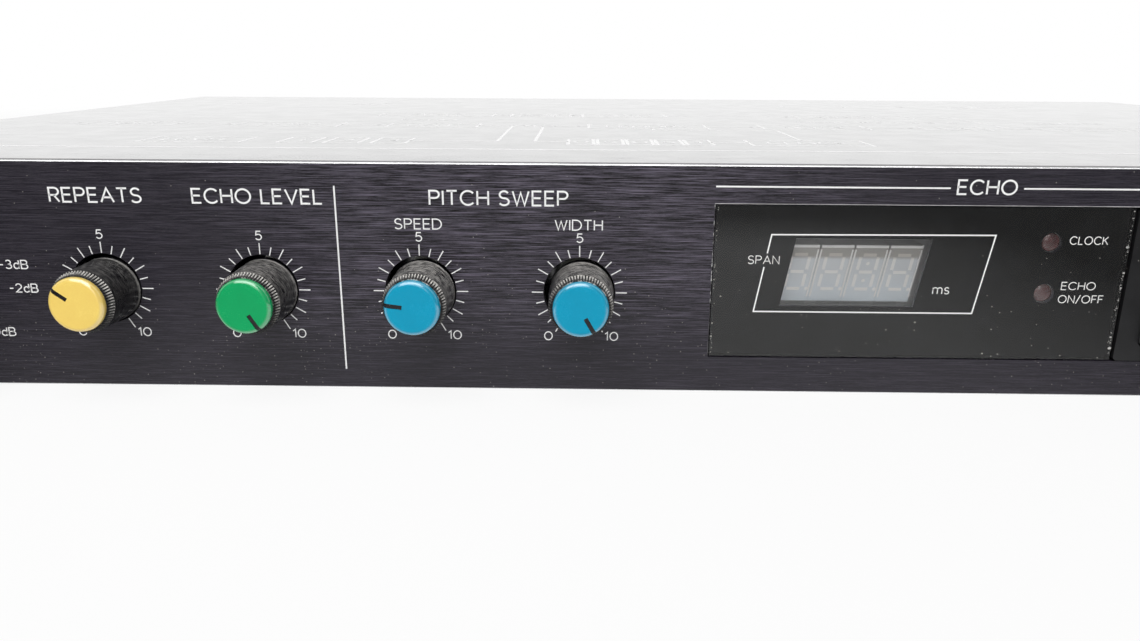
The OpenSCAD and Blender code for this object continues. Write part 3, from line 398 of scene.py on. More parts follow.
@dataclass(frozen=True)
class Finish:
    """A moulded or painted surface with mottled tone, fine relief, dust and hairline scratches.

    Scales are cells to the metre and relief is in millimetres.
    """

    name: str
    color: Color
    roughness: float = 0.45
    metallic: float = 0.0
    tone: float = 0.2
    swing: float = 0.06
    grain: float = 4000.0
    relief: float = 0.01
    relief_share: float = 0.6
    dust: float = 0.0
    dust_scale: float = 1400.0
    scratches: float = 0.0
    scratch_scale: float = 90.0
    coat: float = 0.0
    coat_roughness: float = 0.08
    coat_ior: float = 1.5
    specular: float = 0.5

    def pattern(self, wiring: Wiring, place: Socket) -> tuple[Socket, Socket]:
        """The tone and the height of the surface, both from 0 to 1."""
        group = EFFECTS.place(wiring, Effect.MOULDING, Vector=place, Scale=self.grain)
        return group["Tone"], group["Height"]

    def dust_amount(self, wiring: Wiring, place: Socket) -> object:
        """How many of the dust cells are filled, from 0 to 1."""
        return self.dust

    def cover(self, skin: Skin) -> None:
        """Lays scratches and dust on the plain surface.

        Args:
            skin: The surface, whose values are changed.
        """
        wiring = skin.wiring
        if self.scratches:
            marks = EFFECTS.place(
                wiring, Effect.SCRATCHES, Vector=skin.place, Scale=self.scratch_scale, Amount=self.scratches
            )["Mask"]
            skin.color = wiring.blend(marks, skin.color, shade(DUST_COLOR, 0.8))
        if self.dust:
            amount = self.dust_amount(wiring, skin.place)
            specks = EFFECTS.place(
                wiring, Effect.DUST, Vector=skin.place, Scale=self.dust_scale, Amount=amount
            )["Mask"]
            skin.color = wiring.blend(specks, skin.color, DUST_COLOR)
            skin.roughness = wiring.math("MAXIMUM", skin.roughness, specks)

    def coating(self, wiring: Wiring, place: Socket) -> object:
        """The weight of the clear coat."""
        return self.coat

    def set_shader(self, shader: bpy.types.Node) -> None:
        """Sets what a special finish adds on the shader itself."""

    def material(self) -> bpy.types.Material:
        """Makes the finish a material on its first use.

        Returns:
            The material.
        """
        found = bpy.data.materials.get(self.name)
        if found:
            return found
        made = bpy.data.materials.new(self.name)
        wiring = Wiring.fresh(made)
        place = wiring.node("ShaderNodeTexCoord").outputs["Object"]
        tone, height = self.pattern(wiring, place)
        color = wiring.blend(tone, shade(self.color, 1 - self.tone), shade(self.color, 1 + self.tone))
        roughness = wiring.ramp(tone, 0.2, 0.8, self.roughness - self.swing, self.roughness + self.swing)
        skin = Skin(wiring, place, color, roughness, self.metallic)
        self.cover(skin)
        relief = {"Height": height, "Strength": self.relief_share, "Distance": self.relief * MM}
        shader = wiring.node(
            "ShaderNodeBsdfPrincipled",
            {
                "Base Color": skin.color,
                "Roughness": skin.roughness,
                "Metallic": skin.metallic,
                "Normal": wiring.node("ShaderNodeBump", relief).outputs[0],
                "Specular IOR Level": self.specular,
                "Coat Weight": self.coating(wiring, place),
                "Coat Roughness": self.coat_roughness,
                "Coat IOR": self.coat_ior,
            },
        )
        self.set_shader(shader)
        wiring.node("ShaderNodeOutputMaterial", {"Surface": shader.outputs[0]})
        return made


@dataclass(frozen=True)
class Brushed(Finish):
    """Metal with fine lines along X."""

    along: float = 110.0
    across: float = 4200.0

    def lines(self, wiring: Wiring, place: Socket) -> Sockets:
        """The brushing effect at this finish's scale."""
        return EFFECTS.place(wiring, Effect.BRUSHING, Vector=place, Along=self.along, Across=self.across)

    def pattern(self, wiring: Wiring, place: Socket) -> tuple[Socket, Socket]:
        """The tone and the height of the lines."""
        group = self.lines(wiring, place)
        return group["Tone"], group["Height"]


@dataclass(frozen=True)
class AnodisedPanel(Brushed):
    """Black anodised aluminium with bright streaks and bare long chamfers, its lines faded into a painted
    shade in places.

    The chamfers are found by height less depth, and the lines are strong about one place on the panel, a
    painted highlight, and fade into the painted shade towards its ends and its foot.
    """

    streak: float = 0.45
    streak_color: Color = tint(176, 172, 182)
    chamfer_start: float = 24.64
    chamfer_full: float = 24.67
    bare: Color = (0.9, 0.9, 0.91)
    dust_high: float = 6.0
    dust_low: float = -12.0
    dust_least: float = 0.1
    faint: Color = (0.019, 0.0165, 0.024)
    faint_share: float = 0.8
    strong_x: float = -38.0
    strong_reach: float = 30.0
    faint_reach: float = 66.0
    strong_z: float = 0.0
    faint_z: float = -14.0

    def dust_amount(self, wiring: Wiring, place: Socket) -> object:
        """Dust that has gathered towards the lower edge."""
        low, high = self.dust_low * MM, self.dust_high * MM
        return wiring.ramp(wiring.parts(place)["Z"], low, high, self.dust, self.dust * self.dust_least)

    def cover(self, skin: Skin) -> None:
        """Adds the bright streaks, fades the lines into a painted shade towards the ends and the foot, and
        adds dust and the bare chamfers.

        Args:
            skin: The surface, whose values are changed.
        """
        wiring = skin.wiring
        parts = wiring.parts(skin.place)
        streaks = wiring.math("MULTIPLY", self.lines(wiring, skin.place)["Streak"], self.streak)
        skin.color = wiring.blend(streaks, skin.color, self.streak_color)
        # Painted shade: towards the ends and the foot the lines fade into a flat darker colour. About one
        # place near the top they stay strong, a painted highlight.
        aside = wiring.math("ABSOLUTE", wiring.math("SUBTRACT", parts["X"], self.strong_x * MM))
        ends = wiring.ramp(aside, self.strong_reach * MM, self.faint_reach * MM)
        foot = wiring.ramp(parts["Z"], self.strong_z * MM, self.faint_z * MM)
        painted_shade_mask = wiring.math("MULTIPLY", wiring.math("MAXIMUM", ends, foot), self.faint_share)
        skin.color = wiring.blend(painted_shade_mask, skin.color, self.faint)
        super().cover(skin)
        reach = wiring.math("SUBTRACT", wiring.math("ABSOLUTE", parts["Z"]), parts["Y"])
        skin.metallic = wiring.ramp(reach, self.chamfer_start * MM, self.chamfer_full * MM)
        skin.color = wiring.blend(skin.metallic, skin.color, self.bare)


@dataclass(frozen=True)
class Striped(Finish):
    """A surface of parallel ridges, such as laminations, cores of a flat cable or turns of tape."""

    direction: str = "X"
    ridges: float = 800.0

    def pattern(self, wiring: Wiring, place: Socket) -> tuple[Socket, Socket]:
        """Sine ridges across one axis, over the mottled tone.

        Args:
            wiring: The material's tree.
            place: The surface's own coordinates.

        Returns:
            The tone and the height.
        """
        tone, _ = super().pattern(wiring, place)
        ridges = wiring.node(
            "ShaderNodeTexWave",
            {"Vector": place, "Scale": self.ridges * 2 * np.pi / 20, "Distortion": 0.0},
            bands_direction=self.direction,
        ).outputs["Fac"]
        return wiring.math("MULTIPLY", tone, wiring.ramp(ridges, 0.0, 0.5, 0.4, 1.0)), ridges


@dataclass(frozen=True)
class CircuitBoard(Finish):
    """Solder mask with paler tracks under it."""

    tracks: float = 190.0

    def pattern(self, wiring: Wiring, place: Socket) -> tuple[Socket, Socket]:
        """The outer parts of square cells, read as tracks.

        Args:
            wiring: The material's tree.
            place: The surface's own coordinates.

        Returns:
            The tone and the height.
        """
        tone, _ = super().pattern(wiring, place)
        cells = wiring.node(
            "ShaderNodeTexVoronoi",
            {"Vector": place, "Scale": self.tracks, "Randomness": 0.7},
            distance="CHEBYCHEV",
            feature="F1",
        )
        track = wiring.ramp(cells.outputs["Distance"], 0.42, 0.46)
        return wiring.math("MULTIPLY_ADD", track, 0.6, wiring.math("MULTIPLY", tone, 0.4)), track


@dataclass(frozen=True)
class WornEdge(Finish):
    """Bare cut metal that shows here and there along the upper part of a dark edge."""

    shown: Color = (0.8, 0.8, 0.8)
    patches: float = 900.0
    shown_above: float = -1.0
    hidden_below: float = -6.0
    foot_share: float = 0.08

    def cover(self, skin: Skin) -> None:
        """Breaks the bright metal up with noise and lets it go towards the foot.

        Args:
            skin: The surface, whose values are changed.
        """
        wiring = skin.wiring
        broken = wiring.ramp(wiring.noise(skin.place, self.patches, 4.0), 0.47, 0.66)
        height = wiring.parts(skin.place)["Z"]
        upper = wiring.ramp(height, self.hidden_below * MM, self.shown_above * MM, self.foot_share, 1.0)
        skin.metallic = wiring.math("MULTIPLY", broken, upper)
        skin.color = wiring.blend(skin.metallic, skin.color, self.shown)


@dataclass(frozen=True)
class DustyKnob(Finish):
    """Black plastic with a painted highlight on its rib crests, and dust with a painted sheen on the upper
    side, from the piece's own marks.
    """

    # Colour of the painted highlight on the rib crests.
    crest: Color = tint(248, 245, 240)
    # Colour of the dust film, which also carries a painted sheen.
    film: Color = tint(204, 201, 196)
    broken: float = 0.4
    thin: float = 0.0
    thick: float = 0.95
    patches: float = 1700.0
    rubbed: Vector3 = (0.4, 2.0, 0.4)

    def cover(self, skin: Skin) -> None:
        """Adds the painted highlight on the crests and a film of dust with a painted sheen, rubbed into
        rings round the axis, under the specks.

        Args:
            skin: The surface, whose values are changed.
        """
        wiring = skin.wiring
        film = wiring.noise(skin.place, self.patches, 5.0, 0.7)
        rubs = wiring.noise(wiring.stretch(skin.place, self.rubbed), self.patches, 5.0, 0.7)
        lying = wiring.ramp(rubs, 0.47, 0.57, self.thin, self.thick)
        # Dust and painted sheen: the film is laid on the upper side, where the light falls.
        dusted_and_lit = wiring.math("MULTIPLY", wiring.mark("dust_and_sheen"), lying)
        whole = wiring.ramp(film, 0.38, 0.56, self.broken, 1.0)
        # Painted highlight on the crests, broken up by the film noise.
        crest = wiring.math("MULTIPLY", wiring.mark("crest"), whole)
        skin.color = wiring.blend(dusted_and_lit, skin.color, self.film)
        skin.color = wiring.blend(crest, skin.color, self.crest)
        super().cover(skin)


@dataclass(frozen=True)
class CapPlastic(Finish):
    """Satin plastic whose rounded edge, behind the flat face, is polished by handling."""

    roughness: float = 0.24
    tone: float = 0.06
    relief: float = 0.004
    specular: float = 0.2
    coat: float = 1.0
    coat_roughness: float = 0.12
    coat_ior: float = 2.2
    face: float = -14.9
    turn_in: float = 0.12

    def coating(self, wiring: Wiring, place: Socket) -> object:
        """Gloss that starts where the face turns into the edge."""
        edge = self.face + self.turn_in
        return wiring.ramp(wiring.parts(place)["Y"], self.face * MM, edge * MM, 0.0, self.coat)


@dataclass(frozen=True)
class ShadedFace(Finish):
    """A pale face whose upper part lies in the warm shade of the opening in front of it."""

    shade_z: float = 4.1
    shade_blur: float = 0.35
    shaded: Color = (0.3, 0.28, 0.26)
    lower: Color = (0.84, 0.92, 0.95)
    lower_start: float = 1.5
    lower_end: float = -4.5

    def cover(self, skin: Skin) -> None:
        """Lightens towards the foot, a painted reflection, and darkens what is higher than the shade's edge,
        a painted shade.

        Args:
            skin: The surface, whose values are changed.
        """
        wiring = skin.wiring
        height = wiring.parts(skin.place)["Z"]
        # Painted reflection: the foot is made lighter and bluer.
        foot = wiring.ramp(height, self.lower_start * MM, self.lower_end * MM)
        skin.color = wiring.blend(foot, skin.color, self.lower)
        low = self.shade_z - self.shade_blur
        high = self.shade_z + self.shade_blur
        skin.color = wiring.blend(wiring.ramp(height, low * MM, high * MM), skin.color, self.shaded)
        super().cover(skin)


@dataclass(frozen=True)
class ClearPlastic(Finish):
    """Clear or tinted plastic, with a haze where it doesn't let all light through."""

    index: float = 1.49
    through: float = 0.986

    def set_shader(self, shader: bpy.types.Node) -> None:
        """Lets light through."""
        shader.inputs["Transmission Weight"].default_value = self.through
        shader.inputs["IOR"].default_value = self.index


PANEL_BLACK = AnodisedPanel(
    "black_anodised_panel", (0.088, 0.077, 0.104), roughness=0.3, swing=0.06, tone=0.97, relief=0.02,
    dust=0.5, dust_scale=1550.0, specular=0.35, along=150.0, across=8200.0,
)
COVER_BLACK = Finish(
    "satin_black_cover", (0.018, 0.0165, 0.0172), roughness=0.2, swing=0.04, tone=0.25, grain=2600.0,
    relief=0.002, dust=0.04, coat=1.0, coat_roughness=0.14, coat_ior=1.8, specular=0.8,
)
TRAY_BLACK = Finish(
    "satin_black_tray", (0.018, 0.018, 0.019), roughness=0.42, tone=0.3, grain=2600.0, relief=0.008,
    dust=0.06, scratches=0.3,
)
BRACKET_BLACK = Finish(
    "black_plated_bracket", (0.03, 0.029, 0.031), roughness=0.22, tone=0.3, grain=1800.0, relief=0.003,
    dust=0.1, coat=1.0, coat_roughness=0.12, coat_ior=1.7,
)
SCREW_BLACK = Finish(
    "black_plated_screws", (0.03, 0.03, 0.032), roughness=0.35, metallic=0.4, tone=0.3, grain=5000.0,
)
ZINC = Brushed("zinc_plate", (0.62, 0.62, 0.58), roughness=0.34, metallic=1.0, tone=0.12, relief=0.004)
NICKEL = Finish("nickel_plate", (0.66, 0.64, 0.59), roughness=0.2, metallic=1.0, tone=0.08, relief=0.002)
BRASS = Finish("turned_brass", (0.62, 0.44, 0.16), roughness=0.3, metallic=1.0, tone=0.12, relief=0.004)
KNOB_BLACK = DustyKnob(
    "black_knob_plastic", (0.010, 0.0096, 0.0112), roughness=0.3, tone=0.35, grain=5200.0, relief=0.012,
    dust=0.3, dust_scale=4200.0, specular=0.35,
)
CAP_RED = CapPlastic("red_cap", tint(200, 20, 22))
CAP_YELLOW = CapPlastic("yellow_cap", tint(250, 214, 112), tone=0.05)
CAP_GREEN = CapPlastic("green_cap", tint(2, 166, 96))
CAP_BLUE = CapPlastic("blue_cap", tint(2, 156, 192))
SHAFT_METAL = Brushed(
    "turned_aluminium", (0.7, 0.7, 0.7), roughness=0.32, metallic=1.0, tone=0.1, relief=0.004
)
POT_STEEL = Brushed("pressed_steel", (0.5, 0.5, 0.48), roughness=0.36, metallic=1.0, tone=0.14, relief=0.004)
BOARD_GREEN = CircuitBoard(
    "green_circuit_board", (0.014, 0.075, 0.03), roughness=0.34, tone=0.5, relief=0.02
)
PANEL_BOARD = CircuitBoard("white_panel_board", (0.8, 0.8, 0.79), roughness=0.4, tone=0.15)
LENS_CLEAR = ClearPlastic(
    "clear_lens", (0.97, 0.98, 1.0), roughness=0.01, swing=0.01, tone=0.02, relief=0.0
)
MASK_BLACK = Finish(
    "black_mask", (0.034, 0.0355, 0.053), roughness=0.5, tone=0.3, relief=0.002, specular=0.2
)
# In the digit colours below, the lower colours are a painted lighter foot and the shaded colours a painted
# shade.
DIGIT_FACE = ShadedFace(
    "pale_digit_face", (0.7, 0.735, 0.76), roughness=0.4, tone=0.05, relief=0.004,
    lower=(0.73, 0.81, 0.87), shaded=(0.37, 0.35, 0.32),
)
DIGIT_GROOVE = ShadedFace(
    "digit_grooves", (0.58, 0.6, 0.61), roughness=0.5, tone=0.05, relief=0.002, lower=(0.68, 0.76, 0.82),
)
DIGIT_BAR = ShadedFace(
    "digit_bars", (0.95, 0.95, 0.92), roughness=0.4, tone=0.03, relief=0.002,
    lower=(0.95, 0.95, 0.93), shaded=(0.6, 0.57, 0.52),
)
DIGIT_RIM = Finish("digit_rims", (0.95, 0.94, 0.91), roughness=0.4, tone=0.03, relief=0.002)
LAMP_RED = ClearPlastic(
    "unlit_red_lamp", (0.2, 0.065, 0.065), roughness=0.16, tone=0.15, relief=0.004, coat=0.6,
    index=1.5, through=0.35,
)
BEZEL_BLACK = Finish(
    "black_bezel_plastic", (0.011, 0.011, 0.012), roughness=0.4, tone=0.3, grain=4200.0, relief=0.012,
    dust=0.15,
)
KEY_GREY = Finish(
    "grey_key_plastic", (0.05, 0.05, 0.052), roughness=0.46, grain=4800.0, relief=0.018, dust=0.1,
)
BUTTON_BLACK = Finish(
    "black_button_plastic", (0.022, 0.022, 0.023), roughness=0.42, tone=0.25, grain=4800.0, relief=0.016,
    dust=0.1,
)
SWITCH_BLACK = Finish("black_switch_housing", (0.02, 0.02, 0.02), roughness=0.5)
CHIP_BLACK = Finish("black_epoxy", (0.016, 0.016, 0.017), roughness=0.55, relief=0.012)
CAN_BLUE = Finish("blue_sleeve", (0.012, 0.022, 0.12), roughness=0.3, tone=0.15, relief=0.004)
RIBBON_GREY = Striped("grey_flat_cable", (0.36, 0.36, 0.37), roughness=0.5, ridges=790.0, relief=0.2)
CORE_STEEL = Striped(
    "laminated_core", (0.12, 0.12, 0.125), roughness=0.5, metallic=0.6, direction="Y", ridges=2000.0
)
COIL_TAPE = Striped(
    "coil_tape", (0.42, 0.24, 0.06), roughness=0.4, direction="Z", ridges=260.0, relief=0.1
)
JACK_BLACK = Finish("black_jack_plastic", (0.018, 0.018, 0.019), roughness=0.44, relief=0.012, dust=0.06)
SLIDER_WHITE = Finish("white_slider", (0.66, 0.66, 0.63), roughness=0.4, tone=0.06, relief=0.008)
COVER_INK = Finish(
    "white_cover_print", (0.93, 0.93, 0.92), roughness=0.3, tone=0.03, grain=6000.0, relief=0.002,
    coat=1.0, coat_roughness=0.14, coat_ior=1.8, specular=0.8,
)
INK_WHITE = Finish("white_print", (0.93, 0.93, 0.92), roughness=0.5, tone=0.03, grain=6000.0, relief=0.004)
CUT_EDGE = WornEdge("cut_window_edge", (0.02, 0.018, 0.024), roughness=0.4, tone=0.3)
LENS_RIM = Finish(
    "bare_window_edge", (0.48, 0.47, 0.48), roughness=0.4, tone=0.5, grain=2500.0, relief=0.004
)
LOOSE_DUST = Finish("loose_dust", (0.5, 0.49, 0.47), roughness=0.8, tone=0.3, grain=9000.0)

NODE_FINISHES = {
    PANEL_BLACK: ("front_panel",),
    COVER_BLACK: ("top_cover",),
    TRAY_BLACK: ("chassis_tray", "rear_panel"),
    BRACKET_BLACK: ("front_bracket",),
    SCREW_BLACK: ("cover_screws", "chassis_screws"),
    ZINC: ("panel_nuts", "pot_nuts", "power_switch"),
    NICKEL: ("jack_nuts", "mains_pins"),
    BRASS: ("board_standoffs",),
    POT_STEEL: ("potentiometers",),
    BOARD_GREEN: ("control_board", "main_board"),
    PANEL_BOARD: ("panel_boards",),
    LENS_CLEAR: ("display_lens",),
    MASK_BLACK: ("display_mask",),
    DIGIT_FACE: ("digit_modules",),
    LAMP_RED: ("status_leds", "indicator_leds", "meter_leds"),
    BEZEL_BLACK: ("key_bezel",),
    KEY_GREY: (
        "time_up_key", "time_down_key", "hold_key",
        "memory_key_1", "memory_key_2", "memory_key_3", "memory_key_4",
    ),
    BUTTON_BLACK: ("power_button",),
    SWITCH_BLACK: ("key_switches", "slide_switches"),
    CHIP_BLACK: ("chips", "regulators"),
    CAN_BLUE: ("capacitors",),
    RIBBON_GREY: ("ribbon_cable",),
    CORE_STEEL: ("transformer_core",),
    COIL_TAPE: ("transformer_coil",),
    JACK_BLACK: ("jacks", "mains_inlet"),
    SLIDER_WHITE: ("input_slider", "output_slider"),
}


def dress(node: str, finish: Finish) -> None:
    """Gives every material slot of a CAD node one finish.

    Args:
        node: Name of the CAD node.
        finish: The finish.
    """
    material = finish.material()
    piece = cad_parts[node]
    if not piece.material_slots:
        piece.data.materials.append(material)
    for slot in piece.material_slots:
        slot.material = material


def span(node: str) -> tuple[np.ndarray, np.ndarray]:
    """The low and the high corner of a CAD node's box, in millimetres."""
    low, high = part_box(node)
    return np.array(low) / MM, np.array(high) / MM


def middle(node: str) -> np.ndarray:
    """The middle of a CAD node's box, in millimetres."""
    low, high = span(node)
    return (low + high) / 2


def front_of(node: str) -> float:
    """The foremost Y of a CAD node, in millimetres."""
    return float(span(node)[0][1])


def add_object(name: str, data: bpy.types.ID) -> bpy.types.Object:
    """Puts an object into the scene, at the origin.

    Args:
        name: Its name.
        data: Its mesh, camera or lamp.

    Returns:
        The object.
    """
    made = bpy.data.objects.new(name, data)
    bpy.context.scene.collection.objects.link(made)
    return made


@dataclass
class Shell:
    """Vertices and faces of one piece, gathered surface by surface in millimetres."""

    points: list[np.ndarray] = field(default_factory=list)
    faces: list[list[int]] = field(default_factory=list)
    count: int = 0

    def add_grid(self, grid: np.ndarray, wrap_rows: bool = False, wrap_columns: bool = False) -> np.ndarray:
        """Joins a grid of points into quads.

        Point (i, j) joins (i+1, j), (i+1, j+1) and (i, j+1), so a face's normal is the row
        direction crossed with the column direction.

        Args:
            grid: Points as rows by columns by three.
            wrap_rows: Whether the last row joins the first.
            wrap_columns: Whether the last column joins the first.

        Returns:
            The vertex numbers as rows by columns.
        """
        rows, columns = grid.shape[:2]
        index = self.count + np.arange(rows * columns).reshape(rows, columns)
        ahead = np.roll(index, -1, axis=0)
        quads = np.stack([index, ahead, np.roll(ahead, -1, axis=1), np.roll(index, -1, axis=1)], axis=-1)
        quads = quads[: rows if wrap_rows else rows - 1, : columns if wrap_columns else columns - 1]
        self.points.append(grid.reshape(-1, 3))
        self.faces.extend(quads.reshape(-1, 4).tolist())
        self.count += rows * columns
        return index

    def add_closed(self, grid: np.ndarray) -> None:
        """Joins a grid whose columns wrap round, and closes its first and last rows with flat faces.

        Args:
            grid: Points as rows by columns by three.
        """
        index = self.add_grid(grid, wrap_columns=True)
        self.faces.append(index[0].tolist())
        self.faces.append(index[-1][::-1].tolist())

    def piece(
        self,
        name: str,
        body: str,
        finish: Finish,
        sharp: float | None = None,
        marks: dict[str, np.ndarray] | None = None,
    ) -> bpy.types.Object:
        """Makes the finished piece.

        Args:
            name: Name of the piece.
            body: CAD body that it rides on.
            finish: Its finish.
            sharp: Angle in degrees above which an edge stays sharp, or None for flat faces.
            marks: Values for the finish, one for each of the first vertices and none for the rest.

        Returns:
            The object, at the origin, with its place in its mesh.
        """
        mesh = bpy.data.meshes.new(name)
        mesh.from_pydata((np.vstack(self.points) * MM).tolist(), [], self.faces)
        mesh.update()
        if sharp is not None:
            mesh.polygons.foreach_set("use_smooth", np.ones(len(mesh.polygons), dtype=bool))
            mesh.set_sharp_from_angle(angle=np.radians(sharp))
        for mark, values in (marks or {}).items():
            padded = np.zeros(self.count, dtype=np.float32)
            padded[: values.size] = values.ravel()
            mesh.attributes.new(mark, "FLOAT", "POINT").data.foreach_set("value", padded)
        mesh.materials.append(finish.material())
        made = add_object(name, mesh)
        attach(made, body)
        LOG.info("piece %s: %d faces on %s", name, len(self.faces), body)
        return made


def turned(profile: np.ndarray, radius_change: np.ndarray, axis: np.ndarray) -> np.ndarray:
    """A profile turned about an axis along Y, from the rear to the front.

    At angle a, clockwise from the top seen from the front, a profile point of radius r and depth
    y lies at x = axis + (r + change) sin a, z = axis + (r + change) cos a.

    Args:
        profile: Radius and depth of each profile point, rows by two.
        radius_change: What is added to the radius, rows by columns.
        axis: Where the axis is, across and up.

    Returns:
        The surface as rows by columns by three.
    """
    rows, columns = radius_change.shape
    angle = np.linspace(0.0, 2 * np.pi, columns, endpoint=False)
    radius = profile[:, :1] + radius_change
    depth = np.broadcast_to(profile[:, 1:], (rows, columns))
    return np.stack([axis[0] + radius * np.sin(angle), depth, axis[1] + radius * np.cos(angle)], axis=-1)


def arc(cx: float, cy: float, rx: float, ry: float, start: float, end: float) -> np.ndarray:
    """Points of an ellipse between two angles in degrees, counted from the right, upwards.

    Args:
        cx: Where its middle is across.
        cy: Where its middle is up.
        rx: Half its width.
        ry: Half its height.
        start: The first angle.
        end: The last angle.

    Returns:
        Five points or more, about 15 degrees apart on a long arc.
    """
    steps = max(4, int(abs(end - start) / 15)) + 1
    angle = np.radians(np.linspace(start, end, steps))
    return np.stack([cx + rx * np.cos(angle), cy + ry * np.sin(angle)], axis=1)


def run(*parts: object) -> np.ndarray:
    """Points and arcs joined into one path."""
    return np.vstack([np.atleast_2d(part) for part in parts])


class StrokeFont:
    """Plain capitals and numbers drawn as single strokes, one unit high."""

    GAP = 0.24
    SPACE = 0.45

    def __init__(self) -> None:
        """Draws every glyph once: its width and its strokes."""
        upper_bowl = arc(0.34, 0.74, 0.26, 0.26, 90, -90)
        body_s = run(arc(0.3, 0.75, 0.27, 0.25, 25, 270), arc(0.3, 0.25, 0.3, 0.25, 90, -155)[1:])
        three = run(arc(0.28, 0.76, 0.25, 0.24, 150, -90), arc(0.28, 0.26, 0.3, 0.26, 90, -150)[1:])
        six = run(arc(0.62, 0.31, 0.61, 0.72, 105, 180), arc(0.31, 0.31, 0.3, 0.31, 180, 540)[1:])
        letter_p = run((0, 0), (0, 1), upper_bowl, (0, 0.48))
        hump = run((0, 0.42), arc(0.215, 0.43, 0.215, 0.23, 180, 0), (0.43, 0))
        self.glyphs: dict[str, tuple[float, list[np.ndarray]]] = {
            "A": (0.8, [run((0, 0), (0.4, 1), (0.8, 0)), run((0.14, 0.34), (0.66, 0.34))]),
            "B": (0.64, [run((0.36, 0.52), arc(0.38, 0.26, 0.26, 0.26, 90, -90), (0, 0), (0, 1),
                             arc(0.36, 0.76, 0.24, 0.24, 90, -90), (0, 0.52))]),
            "C": (0.8, [arc(0.45, 0.5, 0.45, 0.5, 42, 318)]),
            "D": (0.75, [run((0, 0), (0, 1), arc(0.3, 0.5, 0.45, 0.5, 90, -90), (0, 0))]),
            "E": (0.55, [run((0.55, 1), (0, 1), (0, 0), (0.55, 0)), run((0, 0.52), (0.5, 0.52))]),
            "F": (0.52, [run((0.52, 1), (0, 1), (0, 0)), run((0, 0.52), (0.46, 0.52))]),
            "H": (0.68, [run((0, 0), (0, 1)), run((0.68, 0), (0.68, 1)), run((0, 0.52), (0.68, 0.52))]),
            "I": (0.0, [run((0, 0), (0, 1))]),
            "K": (0.62, [run((0, 0), (0, 1)), run((0.58, 1), (0, 0.4)), run((0.2, 0.6), (0.62, 0))]),
            "L": (0.5, [run((0, 1), (0, 0), (0.5, 0))]),
            "M": (0.86, [run((0, 0), (0, 1), (0.43, 0.2), (0.86, 1), (0.86, 0))]),
            "N": (0.7, [run((0, 0), (0, 1), (0.7, 0), (0.7, 1))]),
            "O": (0.92, [arc(0.46, 0.5, 0.46, 0.5, 0, 360)]),
            "P": (0.6, [letter_p]),
            "R": (0.6, [letter_p, run((0.3, 0.48), (0.6, 0))]),
            "S": (0.6, [body_s]),
            "T": (0.64, [run((0, 1), (0.64, 1)), run((0.32, 1), (0.32, 0))]),
            "U": (0.66, [run((0, 1), arc(0.33, 0.32, 0.33, 0.32, 180, 360), (0.66, 1))]),
            "V": (0.74, [run((0, 1), (0.37, 0), (0.74, 1))]),
            "W": (1.0, [run((0, 1), (0.26, 0), (0.5, 0.9), (0.74, 0), (1, 1))]),
            "X": (0.7, [run((0, 0), (0.7, 1)), run((0, 1), (0.7, 0))]),
            "Y": (0.7, [run((0, 1), (0.35, 0.5), (0.7, 1)), run((0.35, 0.5), (0.35, 0))]),
            "d": (0.5, [arc(0.25, 0.33, 0.25, 0.33, 0, 360), run((0.5, 1), (0.5, 0))]),
            "m": (0.86, [run((0, 0), (0, 0.66)), hump, hump + np.array([0.43, 0.0])]),
            "s": (0.42, [body_s * 0.68]),
            "0": (0.76, [arc(0.38, 0.5, 0.38, 0.5, 0, 360)]),
            "1": (0.26, [run((0, 0.78), (0.24, 1), (0.24, 0))]),
            "2": (0.6, [run(arc(0.3, 0.7, 0.28, 0.3, 165, -35), (0, 0), (0.6, 0))]),
            "3": (0.6, [three]),
            "4": (0.64, [run((0.46, 0), (0.46, 1), (0, 0.3), (0.64, 0.3))]),
            "5": (0.6, [run((0.54, 1), (0.12, 1), (0.06, 0.56), arc(0.29, 0.32, 0.3, 0.32, 130, -150))]),
            "6": (0.61, [six]),
            "-": (0.42, [run((0.02, 0.45), (0.4, 0.45))]),
            "+": (0.5, [run((0.02, 0.45), (0.48, 0.45)), run((0.25, 0.22), (0.25, 0.68))]),
            "/": (0.42, [run((0, -0.08), (0.42, 1.08))]),
        }

    def lay(self, words: str) -> tuple[float, list[np.ndarray]]:
        """Lays out a line of print, one unit high, from x = 0.

        Args:
            words: The line.

        Returns:
            The width and the strokes.
        """
        pen = 0.0
        strokes: list[np.ndarray] = []
        for letter in words:
            if letter == " ":
                pen += self.SPACE
                continue
            width, paths = self.glyphs[letter]
            strokes.extend(path + np.array([pen, 0.0]) for path in paths)
            pen += width + self.GAP
        return pen - self.GAP, strokes


FONT = StrokeFont()


@dataclass(frozen=True)
class DrawingPlane:
    """A flat place to draw on: a point, the way to the right and the way up."""

    origin: Vector3
    right: Vector3
    up: Vector3

    @classmethod
    def upright(cls, depth: float, across: float = 0.0, height: float = 0.0) -> "DrawingPlane":
        """A plane that faces the front at a depth."""
        return cls((across, depth, height), (1, 0, 0), (0, 0, 1))

    def lift(self, flat: np.ndarray, height: float) -> np.ndarray:
        """Flat points raised along the normal, which is right crossed with up."""
        right, up = np.array(self.right), np.array(self.up)
        return np.array(self.origin) + flat[:, :1] * right + flat[:, 1:] * up + height * np.cross(right, up)


@dataclass(frozen=True)
class Label:
    """A line of print: its words, its anchor and its capital height."""

    words: str
    x: float
    base: float
    cap: float
    align: Align = Align.CENTRE
    line: float = 0.3
    stretch: float = 1.0


